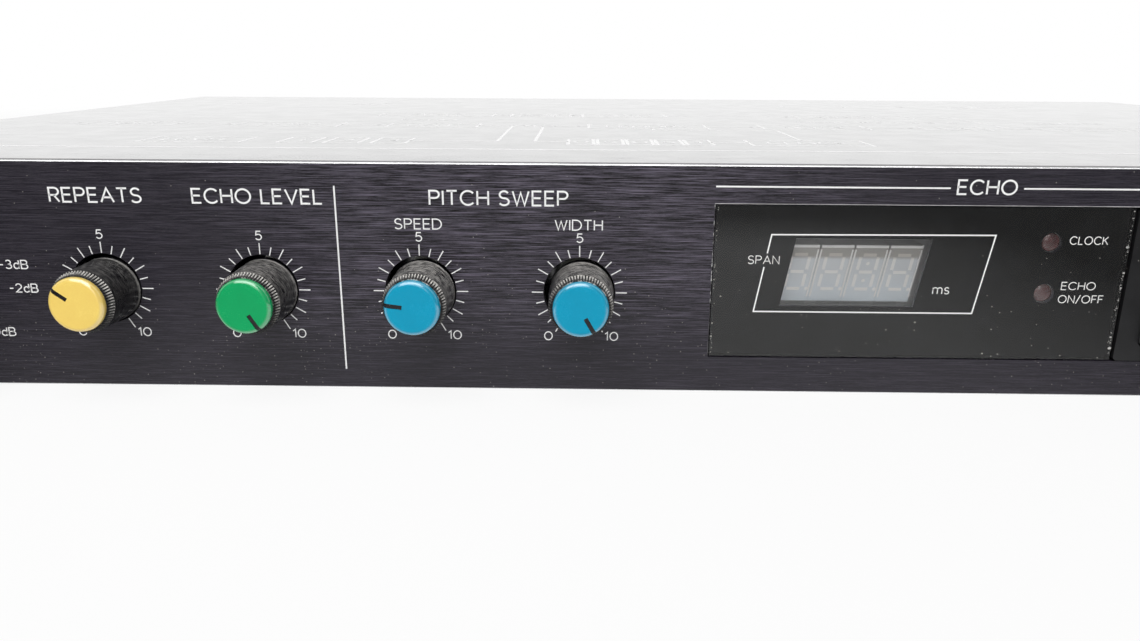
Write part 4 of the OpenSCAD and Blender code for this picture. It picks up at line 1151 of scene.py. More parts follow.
@dataclass
class Inking:
    """Strokes and patches of ink on a plane, each a closed flat bar."""

    plane: DrawingPlane
    thickness: float = 0.03
    sunk: float = 0.01
    shell: Shell = field(default_factory=Shell)

    def stroke(self, path: np.ndarray, width: float) -> None:
        """Sweeps a flat bar along a path: its sides lie half a width off, along each corner's mitre.

        Args:
            path: Flat points; a path that ends where it starts is a loop.
            width: Width of the line.
        """
        path = np.asarray(path, dtype=float)
        loop = bool(np.allclose(path[0], path[-1]))
        step = np.diff(path, axis=0)
        step = step / np.linalg.norm(step, axis=1, keepdims=True)
        before = np.vstack([step[-1:] if loop else step[:1], step])
        after = np.vstack([step, step[:1] if loop else step[-1:]])
        mean = before + after
        mean = mean / np.linalg.norm(mean, axis=1, keepdims=True)
        cosine = np.maximum(np.sum(mean * before, axis=1, keepdims=True), 0.5)
        side = np.stack([-mean[:, 1], mean[:, 0]], axis=1) * (width / 2) / cosine
        left, right = path + side, path - side
        top, base = self.thickness, -self.sunk
        corners = ((right, top), (left, top), (left, base), (right, base))
        grid = np.stack([self.plane.lift(flat, height) for flat, height in corners], axis=1)
        if loop:
            self.shell.add_grid(grid[:-1], wrap_rows=True, wrap_columns=True)
        else:
            self.shell.add_closed(grid)

    def patch(self, outline: np.ndarray) -> None:
        """Adds a flat filled shape.

        Args:
            outline: Flat points, counter-clockwise.
        """
        outline = np.asarray(outline, dtype=float)
        top, base = self.plane.lift(outline, self.thickness), self.plane.lift(outline, -self.sunk)
        self.shell.add_closed(np.stack([top, base]))

    def frame(self, left: float, base: float, width: float, height: float, line: float) -> None:
        """Draws the outline of a rectangle."""
        corners = np.array([[0, 0], [width, 0], [width, height], [0, height], [0, 0]])
        self.stroke(corners + np.array([left, base]), line)

    def print(self, label: Label) -> None:
        """Prints one line of words.

        Args:
            label: The words and where they go.
        """
        width, strokes = FONT.lay(label.words)
        size = np.array([label.cap * label.stretch, label.cap])
        start = np.array([label.x - label.align.value * width * size[0], label.base])
        for path in strokes:
            self.stroke(path * size + start, label.line)

    def piece(self, name: str, body: str, finish: Finish = INK_WHITE) -> None:
        """Makes the drawing a piece that rides on a body."""
        self.shell.piece(name, body, finish)


@dataclass
class Knob:
    """A black knob with a smooth skirt and a ribbed band, and a coloured cap with a slot for its pointer.

    The turns of the dust with its painted sheen and of the lit side are degrees clockwise from the top.
    """

    name: str
    cap_finish: Finish
    turn: float
    back: float = -1.5
    rim: float = -3.1
    rim_ease: float = 0.1
    rim_end: float = -3.5
    rim_fade: float = 0.4
    skirt_start: float = 1.5
    skirt_rings: int = 6
    shoulder: float = -12.15
    band_step: float = 0.02
    band_rings: int = 8
    rib_end: float = -13.7
    rib_fade: float = 0.6
    root_radius: float = 6.15
    shoulder_radius: float = 5.86
    rib_start_radius: float = 5.74
    rib_end_radius: float = 5.3
    face_inset: float = 0.15
    face_round: float = 0.1
    ribs: int = 66
    steps_per_rib: int = 8
    rib_depth: float = 0.3
    sharp: float = 40.0
    dusty: float = 1.0
    dust_turn: float = 20.0
    dust_share: float = 0.62
    root_reach: float = 2.0
    root_share: float = 0.8
    edge_turn: float = 40.0
    edge_share: float = 0.4
    lit_turn: float = 25.0
    cap_radius: float = 5.05
    cap_round: float = 0.9
    pointer_front: float = -14.76
    pointer_width: float = 0.76
    pointer_inner: float = 1.72
    pointer_bend: float = 62.0

    @property
    def axis(self) -> np.ndarray:
        """Where the shaft is, across and up."""
        return middle(f"{self.name}_shaft")[[0, 2]]

    def profile(self) -> tuple[np.ndarray, np.ndarray]:
        """The knob's outline from the rear to the front: a slightly tapered skirt and a steeper ribbed band.

        Returns:
            The radius and depth of each ring, and how far it is ribbed.
        """
        depths = np.append(
            [self.back, self.rim + self.rim_ease, self.rim, self.rim_end, self.rim_end - self.rim_fade],
            np.linspace(self.rim_end - self.skirt_start, self.shoulder, self.skirt_rings),
        )
        taper = (depths - self.back) / (self.shoulder - self.back)
        radii = self.root_radius + (self.shoulder_radius - self.root_radius) * taper
        skirt = np.stack([radii, depths], axis=1)
        share = np.linspace(0.0, 1.0, self.band_rings)[:, None]
        first = np.array([self.rib_start_radius, self.shoulder - self.band_step])
        last = np.array([self.rib_end_radius, self.rib_end + self.face_round])
        edge = self.rib_end_radius - self.face_inset
        face = np.array([[edge, self.rib_end], [self.pointer_inner, self.rib_end]])
        full = np.ones(self.band_rings - 1)
        ribbed = np.concatenate([np.zeros(len(skirt)), full, [self.rib_fade], np.zeros(len(face))])
        return np.vstack([skirt, first + (last - first) * share, face]), ribbed

    def marks(
        self, profile: np.ndarray, ribbed: np.ndarray, groove: np.ndarray, around: np.ndarray
    ) -> dict[str, np.ndarray]:
        """Where the finish shows pale crests and settled dust.

        Args:
            profile: Radius and depth of each ring.
            ribbed: How far each ring is ribbed.
            groove: Depth of the groove round the ribs, from 0 to 1.
            around: Angle of each column, clockwise from the top.

        Returns:
            Values from 0 to 1, rings by columns: the crests' painted highlight, strongest on the lit side,
                with a pale line on the rear rim that is partly wear and partly painted highlight, and the
                dust with its painted sheen that lies on the upper side and in a thin line where the skirt
                goes into the panel.
        """
        depth = profile[:, 1:]
        # Dust and painted sheen on the upper side, turned towards the light.
        upper = np.maximum(np.cos(around - np.radians(self.dust_turn)), 0.0) * self.dust_share
        # Pale rear rim edge, partly wear and partly painted highlight, strongest towards the light.
        edge = np.maximum(np.cos(around - np.radians(self.edge_turn)), 0.0) ** 0.5
        at_rim = ((depth <= self.rim) & (depth >= self.rim_end)).astype(float)
        near_rim = np.clip(1 - (self.rim_end - depth) / self.root_reach, 0.0, 1.0)
        near_rim = near_rim * np.maximum(np.sin(around), 0.0) * self.root_share
        plain = (ribbed[:, None] == 0) & (depth <= self.rim)
        dusted_and_lit = np.maximum(upper, near_rim) * plain * self.dusty
        # Painted highlight: the crests are paler on the lit side and towards the rear of the band.
        facing = np.clip((np.cos(around - np.radians(self.lit_turn)) + 0.5) / 1.3, 0.1, 1.0)
        fore = np.clip((depth - self.rib_end) / (self.shoulder - self.rib_end) / 0.35 - 0.4, 0.0, 1.0)
        pale = np.maximum(ribbed[:, None] * (1 - groove) * facing * fore, at_rim * edge * self.edge_share)
        return {"crest": pale, "dust_and_sheen": np.minimum(dusted_and_lit, 1.0)}

    def pointer(self) -> np.ndarray:
        """The raised line in the cap's slot, as a bar whose top follows the cap's rounded face.

        Along the radius the top is level as far as the rounding, and then drops by the rounding's
        radius times one less the cosine of the bend, while it reaches out by the sine.

        Returns:
            Sections from the inner end to the outer end, each of four corners.
        """
        bend = np.radians(np.linspace(0.0, self.pointer_bend, 7))
        level = self.cap_radius - self.cap_round
        reach = np.append(self.pointer_inner, level + self.cap_round * np.sin(bend))[:, None]
        top = np.append(0.0, self.cap_round * (1 - np.cos(bend))) + self.pointer_front
        base = np.full_like(top, self.rib_end + self.face_round)
        turn = np.radians(self.turn)
        along = self.axis + reach * np.array([np.sin(turn), np.cos(turn)])
        side = np.array([-np.cos(turn), np.sin(turn)]) * self.pointer_width / 2
        corners = ((along - side, top), (along + side, top), (along + side, base), (along - side, base))
        edges = [np.stack([flat[:, 0], depth, flat[:, 1]], axis=1) for flat, depth in corners]
        return np.stack(edges, axis=1)

    def build(self) -> None:
        """Turns the body, adds the pointer that fills the cap's slot, and dresses the CAD pieces.

        A groove's depth is a half less 0.9 times the cosine of the turn times the number of ribs,
        held between 0 and 1, so that the crests are broad and the grooves between them rounded.
        """
        profile, ribbed = self.profile()
        around = np.linspace(0.0, 2 * np.pi, self.ribs * self.steps_per_rib, endpoint=False)
        groove = np.clip(0.5 - 0.9 * np.cos(self.ribs * around), 0.0, 1.0)
        shell = Shell()
        shell.add_closed(turned(profile, -self.rib_depth * ribbed[:, None] * groove, self.axis))
        shell.add_closed(self.pointer())
        marks = self.marks(profile, ribbed, groove, around)
        body = shell.piece(f"{self.name}_ribbed_body", f"{self.name}_dial", KNOB_BLACK, self.sharp, marks)
        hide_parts(f"{self.name}_knob")
        dress(f"{self.name}_cap", self.cap_finish)
        dress(f"{self.name}_shaft", SHAFT_METAL)


@dataclass
class PanelPrint:
    """White print on the front panel: scales round the knobs, headings, lines and numbers."""

    tick_inner: float = 6.85
    tick_long: float = 8.98
    tick_short: float = 8.44
    tick_line: float = 0.21
    tick_turn: float = 15.0
    tick_sweep: float = 150.0
    number_cap: float = 1.6
    number_line: float = 0.215
    number_stretch: float = 1.2
    level_stretch: float = 1.18
    heading_cap: float = 2.58
    heading_base: float = 14.26
    heading_line: float = 0.345
    heading_stretch: float = 1.14
    under_cap: float = 1.86
    under_base: float = 9.72
    under_line: float = 0.23
    under_stretch: float = 1.16
    hole_shift: float = -0.35
    hole_rise: float = 0.2
    divider_x: float = -77.0
    divider_foot: float = -18.0
    divider_top: float = 17.6
    header_z: float = 18.0
    header_base: float = 16.95
    rule_line: float = 0.3
    memory_cap: float = 2.1
    memory_base: float = -13.0
    key_cap: float = 1.9
    key_base: float = -14.2
    key_line: float = 0.28
    meter_end: float = 1.5
    meter_gap: float = 1.6
    meter_line: float = 0.25
    meter_head: float = 1.8
    edge_out: float = 0.27
    edge_rise: float = 0.012
    top_edge: float = 0.11
    side_edge: float = 0.15
    side_short: float = 0.1

    def ink(self) -> Inking:
        """A drawing on the panel's front face."""
        return Inking(DrawingPlane.upright(front_of("front_panel")))

    def scale(self, ink: Inking, axis: Point) -> None:
        """Draws the ticks round one knob, long ones at every second step.

        Args:
            ink: The drawing.
            axis: Middle of the ring, across and up.
        """
        turns = np.arange(-self.tick_sweep, self.tick_sweep + 1, self.tick_turn)
        for number, turn in enumerate(turns):
            aim = np.array([np.sin(np.radians(turn)), np.cos(np.radians(turn))])
            outer = self.tick_short if number % 2 else self.tick_long
            ink.stroke(np.array(axis) + np.array([self.tick_inner * aim, outer * aim]), self.tick_line)

    def numbers(self, ink: Inking, axis: Point) -> None:
        """Prints 0, 5 and 10 round one knob.

        Args:
            ink: The drawing.
            axis: Middle of the ring, across and up.
        """
        for words, across, base in (("5", 0.0, 7.42), ("0", -5.85, -11.63), ("10", 6.2, -11.63)):
            ink.print(
                Label(
                    words, axis[0] + across, base, self.number_cap,
                    line=self.number_line, stretch=self.number_stretch,
                )
            )

    def level_scale(self, ink: Inking, axis: Point) -> None:
        """Prints the steps of the level knob, loudest at the right.

        Args:
            ink: The drawing.
            axis: Middle of the ring, across and up.
        """
        x, z = axis
        half = self.number_cap / 2
        steps = (
            ("-3dB", 15.5, 4.45), ("-2dB", 16.7, -0.15), ("0dB", 10.9, -8.9), ("-6", 1.2, 10.4),
            ("-12", -9.4, 4.45), ("-20", -10.2, -0.15), ("-40", -5.4, -8.9),
        )
        for words, across, up in steps:
            ink.print(
                Label(
                    words, x + across, z + up - half, self.number_cap,
                    Align.RIGHT, self.number_line, self.level_stretch,
                )
            )

    def headings(self, ink: Inking) -> None:
        """Prints the plain words over the knobs.

        Args:
            ink: The drawing.
        """
        high = {"line": self.heading_line, "stretch": self.heading_stretch}
        for words, x in (
            ("INPUT LEVEL", -151.8), ("REPEATS", -121.5), ("ECHO LEVEL", -91.4), ("PITCH SWEEP", -46.8),
        ):
            ink.print(Label(words, x, self.heading_base, self.heading_cap, **high))
        low = {"line": self.under_line, "stretch": self.under_stretch}
        for words, x in (("SPEED", -61.8), ("WIDTH", -32.0)):
            ink.print(Label(words, x, self.under_base, self.under_cap, **low))

    def lines(self, ink: Inking) -> None:
        """Draws the divider, and the header lines with their words.

        Args:
            ink: The drawing.
        """
        divider = np.array([[self.divider_x, self.divider_foot], [self.divider_x, self.divider_top]])
        ink.stroke(divider, self.rule_line)
        for first, last in ((-7.05, 35.4), (48.6, 91.0), (101.5, 122.4), (136.6, 157.5)):
            ink.stroke(np.array([[first, self.header_z], [last, self.header_z]]), self.rule_line)
        for words, x, cap, stretch in (("ECHO", 42.0, 2.52, 1.14), ("MEMORY", 129.5, 2.3, 1.0)):
            ink.print(Label(words, x, self.header_base, cap, line=self.heading_line, stretch=stretch))

    def keys(self, ink: Inking) -> None:
        """Prints numbers and words under the keys and beside the meter lamps.

        Args:
            ink: The drawing.
        """
        for number in range(1, 5):
            x = middle(f"memory_key_{number}")[0]
            ink.print(Label(str(number), x, self.memory_base, self.memory_cap))
        for words, node in (("HOLD", "hold_key"), ("ON/OFF", "power_button")):
            ink.print(Label(words, middle(node)[0], self.key_base, self.key_cap, line=self.key_line))
        low, high = span("meter_leds")
        heights = np.linspace(low[2] + self.meter_end, high[2] - self.meter_end, 5)
        for words, height in zip(("-30", "-20", "-10", "0", "+6"), heights):
            base = height - self.number_cap / 2
            beside = low[0] - self.meter_gap
            ink.print(Label(words, beside, base, self.number_cap, Align.RIGHT, self.meter_line))
        above = high[2] + self.meter_head
        ink.print(Label("dB", middle("meter_leds")[0], above, self.key_cap, line=self.key_line))

    def window_edge(self) -> None:
        """Lines the display opening with the cut metal that shows at its top and left edges."""
        low, high = span("display_lens")
        left = low[0] - self.edge_out
        right = span("key_bezel")[1][0] + self.edge_out
        foot, head = low[2] - self.edge_out, high[2] + self.edge_out
        top, side = self.ink(), self.ink()
        top.thickness = self.edge_rise
        side.thickness = self.edge_rise
        top.stroke(np.array([[left, head], [right, head]]), self.top_edge)
        side.stroke(np.array([[left, foot], [left, head - self.side_short]]), self.side_edge)
        top.piece("window_top_edge", "case", LENS_RIM)
        side.piece("window_side_edge", "case", CUT_EDGE)

    def build(self) -> None:
        """Prints everything on the panel."""
        ink = self.ink()
        for name in ("level", "feedback", "echo", "rate", "depth"):
            centre = middle(f"{name}_shaft")
            axis = (float(centre[0]) + self.hole_shift, float(centre[2]) + self.hole_rise)
            self.scale(ink, axis)
            if name == "level":
                self.level_scale(ink, axis)
            else:
                self.numbers(ink, axis)
        self.headings(ink)
        self.lines(ink)
        self.keys(ink)
        ink.piece("panel_print", "case")
        self.window_edge()


@dataclass
class DisplayWindow:
    """The clear lens with its print, and the unlit digits behind it."""

    slant: float = 10.0
    pitch: float = 6.5
    digits: int = 4
    bar: float = 0.6
    half_width: float = 1.68
    half_height: float = 3.33
    rise: float = 0.25
    corner_gap: float = 0.45
    dot_aside: float = 0.85
    dot_radius: float = 0.34
    rim: float = 0.26
    rim_inset: float = 0.17
    rim_rise: float = 0.15
    rim_short: float = 0.9
    groove: float = 0.34
    groove_short: float = 0.05
    top_strip: float = 0.5
    strip_drop: float = 0.3
    strip_inset: float = 0.2
    ink_rise: float = 0.02
    frame_corners: tuple[Point, ...] = ((3.73, 9.14), (44.9, 9.34), (42.4, -5.66), (1.23, -5.66))
    frame_line: float = 0.26
    gap_start: float = 0.585
    gap_end: float = 0.76
    labels: tuple[Label, ...] = (
        Label("SPAN", 2.55, 3.6, 1.5, line=0.155, stretch=1.12),
        Label("ms", 34.6, -1.88, 1.8, Align.LEFT, 0.18, 1.1),
        Label("CLOCK", 58.6, 7.8, 1.42, Align.LEFT, 0.155, 1.06),
        Label("ECHO", 58.4, -0.85, 1.42, Align.LEFT, 0.155, 1.2),
        Label("ON/OFF", 58.2, -3.4, 1.42, Align.LEFT, 0.155, 1.12),
    )
    flakes: int = 90
    edge_flakes: int = 110
    flake_size: float = 0.055
    flake_spread: float = 0.5
    flake_length: float = 1.4
    margin: float = 0.3
    edge_margin: float = 0.25
    edge_spread: float = 0.12
    left_share: float = 0.35
    dust_seed: int = 5

    def lean(self, flat: np.ndarray) -> np.ndarray:
        """Points moved right in proportion to their height, by the slant of the digits."""
        return flat + np.stack([flat[:, 1] * np.tan(np.radians(self.slant)), np.zeros(len(flat))], axis=1)

    def bars(self) -> list[np.ndarray]:
        """The seven bars of one digit about its middle.

        Returns:
            The ends of each bar, upright and not yet leaning.
        """
        w, h, g = self.half_width, self.half_height, self.corner_gap
        level = [np.array([[g - w, z], [w - g, z]]) for z in (h, 0.0, -h)]
        upright = [np.array([[x, z + g], [x, z + h - g]]) for x in (-w, w) for z in (0.0, -h)]
        return level + upright

    def face_ink(self) -> Inking:
        """A drawing on the faces of the digit modules."""
        centre = middle("digit_modules")
        return Inking(DrawingPlane.upright(front_of("digit_modules"), centre[0], centre[2]), self.ink_rise)

    def build_digits(self) -> None:
        """Draws the bars and dots, the modules' rims, the grooves between them and a pale strip on top, a
        painted highlight of the modules' lit top edges.
        """
        bars, rims, grooves = self.face_ink(), self.face_ink(), self.face_ink()
        rims.thickness = self.rim_rise
        low, high = span("digit_modules")
        half = (high[2] - low[2]) / 2
        top = half - self.rim_short
        for number in range(self.digits):
            across = (number - (self.digits - 1) / 2) * self.pitch
            place = np.array([across, self.rise])
            for path in self.bars():
                bars.stroke(self.lean(path + place), self.bar)
            dots = [(self.half_width + self.dot_aside, -self.half_height)]
            if number == self.digits - 2:
                dots += [(0.0, self.half_height / 2), (0.0, -self.half_height / 2)]
            for dot in dots:
                ring = arc(0, 0, self.dot_radius, self.dot_radius, 0, 360)[:-1]
                bars.patch(self.lean(np.array(dot) + place + ring))
            for side in (-1, 1):
                edge = across + side * (self.pitch / 2 - self.rim_inset - self.rim / 2)
                rims.stroke(self.lean(np.array([[edge, self.rim_short - half], [edge, top]])), self.rim)
            edge = across + self.pitch / 2
            if number < self.digits - 1:
                joint = np.array([[edge, self.groove_short - half], [edge, top]])
                grooves.stroke(self.lean(joint), self.groove)
            # Painted highlight: a pale strip along the top of each module stands in for its lit top edge.
            ends = across + np.array([-1, 1]) * (self.pitch / 2 - self.strip_inset)
            height = half - self.strip_drop
            rims.stroke(self.lean(np.array([[ends[0], height], [ends[1], height]])), self.top_strip)
        bars.piece("digit_bars", "case", DIGIT_BAR)
        rims.piece("digit_rims", "case", DIGIT_RIM)
        grooves.piece("digit_grooves", "case", DIGIT_GROOVE)

    def build_print(self) -> None:
        """Prints the slanted frame, open beside its word, and the small words on the front of the lens."""
        ink = Inking(DrawingPlane.upright(front_of("display_lens")), self.ink_rise)
        corners = np.array(self.frame_corners)
        along_left = corners[0] - corners[3]
        below = corners[3] + along_left * self.gap_start
        above = corners[3] + along_left * self.gap_end
        ink.stroke(np.vstack([above, corners, below]), self.frame_line)
        for label in self.labels:
            ink.print(label)
        ink.piece("lens_print", "case")

    def build_dust(self) -> None:
        """Scatters flakes on the lens, thicker towards its lower edge and along its side gaps."""
        low, high = span("display_lens")
        ink = Inking(DrawingPlane.upright(low[1]))
        chance = np.random.default_rng(self.dust_seed)
        left, right = low[0] + self.margin, high[0] - self.margin
        foot, head = low[2] + self.margin, high[2] - self.margin
        across = chance.uniform(left, right, self.flakes)
        up = foot + (head - foot) * chance.beta(1.0, 2.4, self.flakes)
        at_left = chance.random(self.edge_flakes) < self.left_share
        edges = np.where(at_left, low[0] + self.edge_margin, high[0] - self.edge_margin)
        inwards = np.sign(middle("display_lens")[0] - edges)
        edges = edges + inwards * chance.exponential(self.edge_spread, self.edge_flakes)
        edge_up = chance.uniform(foot, head, self.edge_flakes)
        places = np.stack([np.concatenate([across, edges]), np.concatenate([up, edge_up])], axis=1)
        sizes = chance.lognormal(np.log(self.flake_size), self.flake_spread, len(places))
        turns = chance.uniform(0.0, 360.0, len(places))
        for place, size, turn in zip(places, sizes, turns):
            ink.patch(place + arc(0, 0, size * self.flake_length, size, turn, turn + 360)[:-1:4])
        ink.piece("lens_dust", "case", LOOSE_DUST)

    def build(self) -> None:
        """Makes the digits, the lens print and the dust on the lens."""
        self.build_digits()
        self.build_print()
        self.build_dust()


@dataclass
class KeyMarks:
    """Arrows on the two time keys."""

    half: float = 1.7
    height: float = 2.4

    def build(self) -> None:
        """Puts a filled arrow on each time key, pointing up or down."""
        foot, tip = -self.height / 2, self.height / 2
        arrow = np.array([[-self.half, foot], [self.half, foot], [0.0, tip]])
        for name, way in (("time_up", 1.0), ("time_down", -1.0)):
            centre = middle(f"{name}_key")
            ink = Inking(DrawingPlane.upright(front_of(f"{name}_key"), centre[0], centre[2]))
            outline = arrow * np.array([1.0, way])
            ink.patch(outline if way > 0 else outline[::-1])
            ink.piece(f"{name}_arrow", name)


@dataclass
class CoverDiagram:
    """A plain flow diagram printed in white on the cover: named boxes, wires, a sum point and arrows."""

    ink_rise: float = 0.02
    line: float = 0.8
    rule_line: float = 1.3
    rule_y: float = 32.0
    rule_inset: float = 1.0
    box_depth: float = 13.0
    cap: float = 4.6
    text_line: float = 0.7
    box_stretch: float = 0.9
    arrow_length: float = 3.5
    arrow_half: float = 1.6
    arrow_overlap: float = 1.0
    sum_x: float = -43.0
    sum_radius: float = 3.0
    rear_cap: float = 6.0
    rear_line: float = 1.0
    rear_y: float = 204.0
    note_y: float = 118.0
    front_row: float = 44.0
    main_row: float = 92.0
    far_row: float = 138.0

    def wire(self, ink: Inking, *points: Point) -> None:
        """Draws a wire through points."""
        ink.stroke(np.array(points, dtype=float), self.line)

    def box(self, ink: Inking, words: str, left: float, right: float, base: float) -> None:
        """Draws a box with a word in it.

        Args:
            ink: The drawing.
            words: The word.
            left: Left side of the box.
            right: Right side of the box.
            base: Near side of the box.
        """
        ink.frame(left, base, right - left, self.box_depth, self.line)
        start = base + (self.box_depth - self.cap) / 2
        centre = (left + right) / 2
        ink.print(Label(words, centre, start, self.cap, line=self.text_line, stretch=self.box_stretch))

    def link(self, ink: Inking, first: float, last: float, base: float) -> None:
        """Draws a wire from left to right that ends in an arrowhead.

        Args:
            ink: The drawing.
            first: Where the wire starts.
            last: Where the arrow's tip is.
            base: Near side of the boxes in the row.
        """
        level = base + self.box_depth / 2
        tail = last - self.arrow_length
        self.wire(ink, (first, level), (tail + self.arrow_overlap, level))
        half = self.arrow_half
        ink.patch(np.array([[last, level], [tail, level + half], [tail, level - half]]))

    def build(self) -> None:
        """Draws the rule along the front, the rows of boxes and the wires between the rows."""
        corner = span("top_cover")[1]
        ink = Inking(DrawingPlane((0.0, 0.0, corner[2]), (1, 0, 0), (0, 1, 0)), self.ink_rise)
        half = corner[0] - self.rule_inset
        ink.stroke(np.array([[-half, self.rule_y], [half, self.rule_y]]), self.rule_line)
        main, front, far, level = self.main_row, self.front_row, self.far_row, self.box_depth / 2
        for words, left, right, base in (
            ("INPUT", -176, -150, main), ("FILTER", -132, -102, main), ("HOLD", -88, -62, main),
            ("MEMORY", -30, 4, main), ("FILTER", 20, 50, main), ("MIX", 66, 84, main),
            ("OUTPUT", 100, 132, main),
            ("LEVEL", -136, -112, front), ("1", -103, -95, front), ("2", -92, -84, front),
            ("3", -81, -73, front), ("0", -35, -29, front), ("5", -28, -22, front), ("0", -21, -15, front),
            ("5", -14, -8, front), ("1", -7, -1, front), ("CLOCK", 8, 36, front),
            ("SWEEP", -100, -62, far), ("RATE", -56, -36, far), ("WIDTH", -32, -4, far),
            ("REPEATS", 40, 78, far),
        ):
            self.box(ink, words, left, right, base)
        for first, last, base in (
            (-188, -176, main), (-150, -132, main), (-102, -88, main), (-62, -46, main), (-40, -30, main),
            (4, 20, main), (50, 66, main), (84, 100, main), (132, 150, main),
            (-62, -56, far), (-36, -32, far), (-4, 40, far),
        ):
            self.link(ink, first, last, base)
        ring = arc(0, 0, self.sum_radius, self.sum_radius, 0, 360)
        ink.stroke(np.array([self.sum_x, main + level]) + ring, self.line)
        under = main + level - self.sum_radius
        self.wire(ink, (self.sum_x, under), (self.sum_x, front + level), (-35, front + level))
        self.wire(ink, (-1, front + level), (8, front + level))
        self.wire(ink, (22, front + self.box_depth), (22, main - 6), (-12, main - 6), (-12, main))
        self.wire(ink, (-73, front + level), (-52, front + level), (-52, main + level))
        self.wire(ink, (78, far + level), (92, far + level), (92, main + level))
        for words, x in (("MEMORY 1 2 3 4", 60), ("ON/OFF", 118), ("ECHO", -80)):
            ink.print(Label(words, x, self.note_y, self.cap, line=self.text_line))
        for words, x in (("IN", -172), ("OUT", -118), ("1", 48), ("2", 72), ("3", 96), ("IN/OUT", 130)):
            ink.print(Label(words, x, self.rear_y, self.rear_cap, line=self.rear_line))
        ink.piece("cover_diagram", "case", COVER_INK)


@dataclass
class RearPrint:
    """White print on the rear panel: the jacks' names, the switches' levels and a line round each group."""

    cap: float = 2.2
    line: float = 0.32
    above: float = 9.5
    jack_half: float = 8.0
    level_cap: float = 1.7
    level_line: float = 0.26
    level_drop: float = 3.0
    level_aside: float = 4.5
    slide_half: float = 2.0
    frame_out: float = 11.0
    frame_base: float = -14.0
    frame_height: float = 28.0
    frame_line: float = 0.3

    def build(self) -> None:
        """Prints on the rear face, drawn as it is seen from behind."""
        ink = Inking(DrawingPlane((0.0, span("rear_panel")[1][1], 0.0), (-1, 0, 0), (0, 0, 1)))
        low, high = span("jacks")
        jacks = np.linspace(low[0] + self.jack_half, high[0] - self.jack_half, 6)
        for words, x in zip(("IN", "OUT", "ECHO", "1", "2", "3"), jacks):
            ink.print(Label(words, -x, self.above, self.cap, line=self.line))
        for node in ("input_slider", "output_slider"):
            x = middle(node)[0] + self.slide_half
            for words, aside in (("-20", self.level_aside), ("+4", -self.level_aside)):
                base = self.above - self.level_drop
                ink.print(Label(words, -x + aside, base, self.level_cap, line=self.level_line))
        for first, last in ((0, 2), (3, 5)):
            width = jacks[last] - jacks[first] + 2 * self.frame_out
            left = -jacks[last] - self.frame_out
            ink.frame(left, self.frame_base, width, self.frame_height, self.frame_line)
        ink.piece("rear_print", "case")


def pose(right: np.ndarray, up: np.ndarray, back: np.ndarray, place: Vector3) -> Matrix:
    """The matrix of an object with its axes and its place given.

    Args:
        right: Way of its own X.
        up: Way of its own Y.
        back: Way of its own Z.
        place: Its place in millimetres.

    Returns:
        The matrix, in metres.
    """
    rows = np.eye(4)
    rows[:3, :3] = np.stack([right, up, back], axis=1)
    rows[:3, 3] = np.array(place) * MM
    return Matrix(rows.tolist())


@dataclass(frozen=True)
class PhotoCamera:
    """The camera at the photograph's place, turned by yaw, pitch and roll in radians."""

    place: Vector3 = (-30.95, -166.28, 41.06)
    focal_pixels: float = 893.5
    image_width: float = 1140.0
    sensor: float = 36.0
    yaw: float = -0.0158
    pitch: float = 0.2904
    roll: float = 0.0054
    nearest: float = 5.0

    def build(self) -> None:
        """Makes the camera and uses it for the scene."""
        ahead = np.array([np.sin(self.yaw), np.cos(self.yaw), 0.0])
        forward = ahead * np.cos(self.pitch) - np.array([0.0, 0.0, np.sin(self.pitch)])
        level = np.array([np.cos(self.yaw), -np.sin(self.yaw), 0.0])
        upright = np.cross(level, forward)
        right = np.cos(self.roll) * level + np.sin(self.roll) * upright
        up = np.cos(self.roll) * upright - np.sin(self.roll) * level
        data = bpy.data.cameras.new("photo_camera")
        data.sensor_fit = "HORIZONTAL"
        data.sensor_width = self.sensor
        data.lens = self.focal_pixels / self.image_width * self.sensor
        data.clip_start = self.nearest * MM
        camera = add_object("photo_camera", data)
        camera.matrix_world = pose(right, up, -forward, self.place)
        bpy.context.scene.camera = camera


@dataclass(frozen=True)
class Softbox:
    """A soft square lamp that is turned towards its target."""

    name: str
    place: Vector3
    target: Vector3
    size: Point
    power: float

    def build(self) -> None:
        """Makes the lamp."""
        data = bpy.data.lights.new(self.name, "AREA")
        data.shape = "RECTANGLE"
        data.size = self.size[0] * MM
        data.size_y = self.size[1] * MM
        data.energy = self.power
        back = np.array(self.place) - np.array(self.target)
        back = back / np.linalg.norm(back)
        right = np.cross(np.array([0.0, 1.0, 0.0]), back)
        right = right / np.linalg.norm(right)
        lamp = add_object(self.name, data)
        lamp.matrix_world = pose(right, np.cross(back, right), back, self.place)


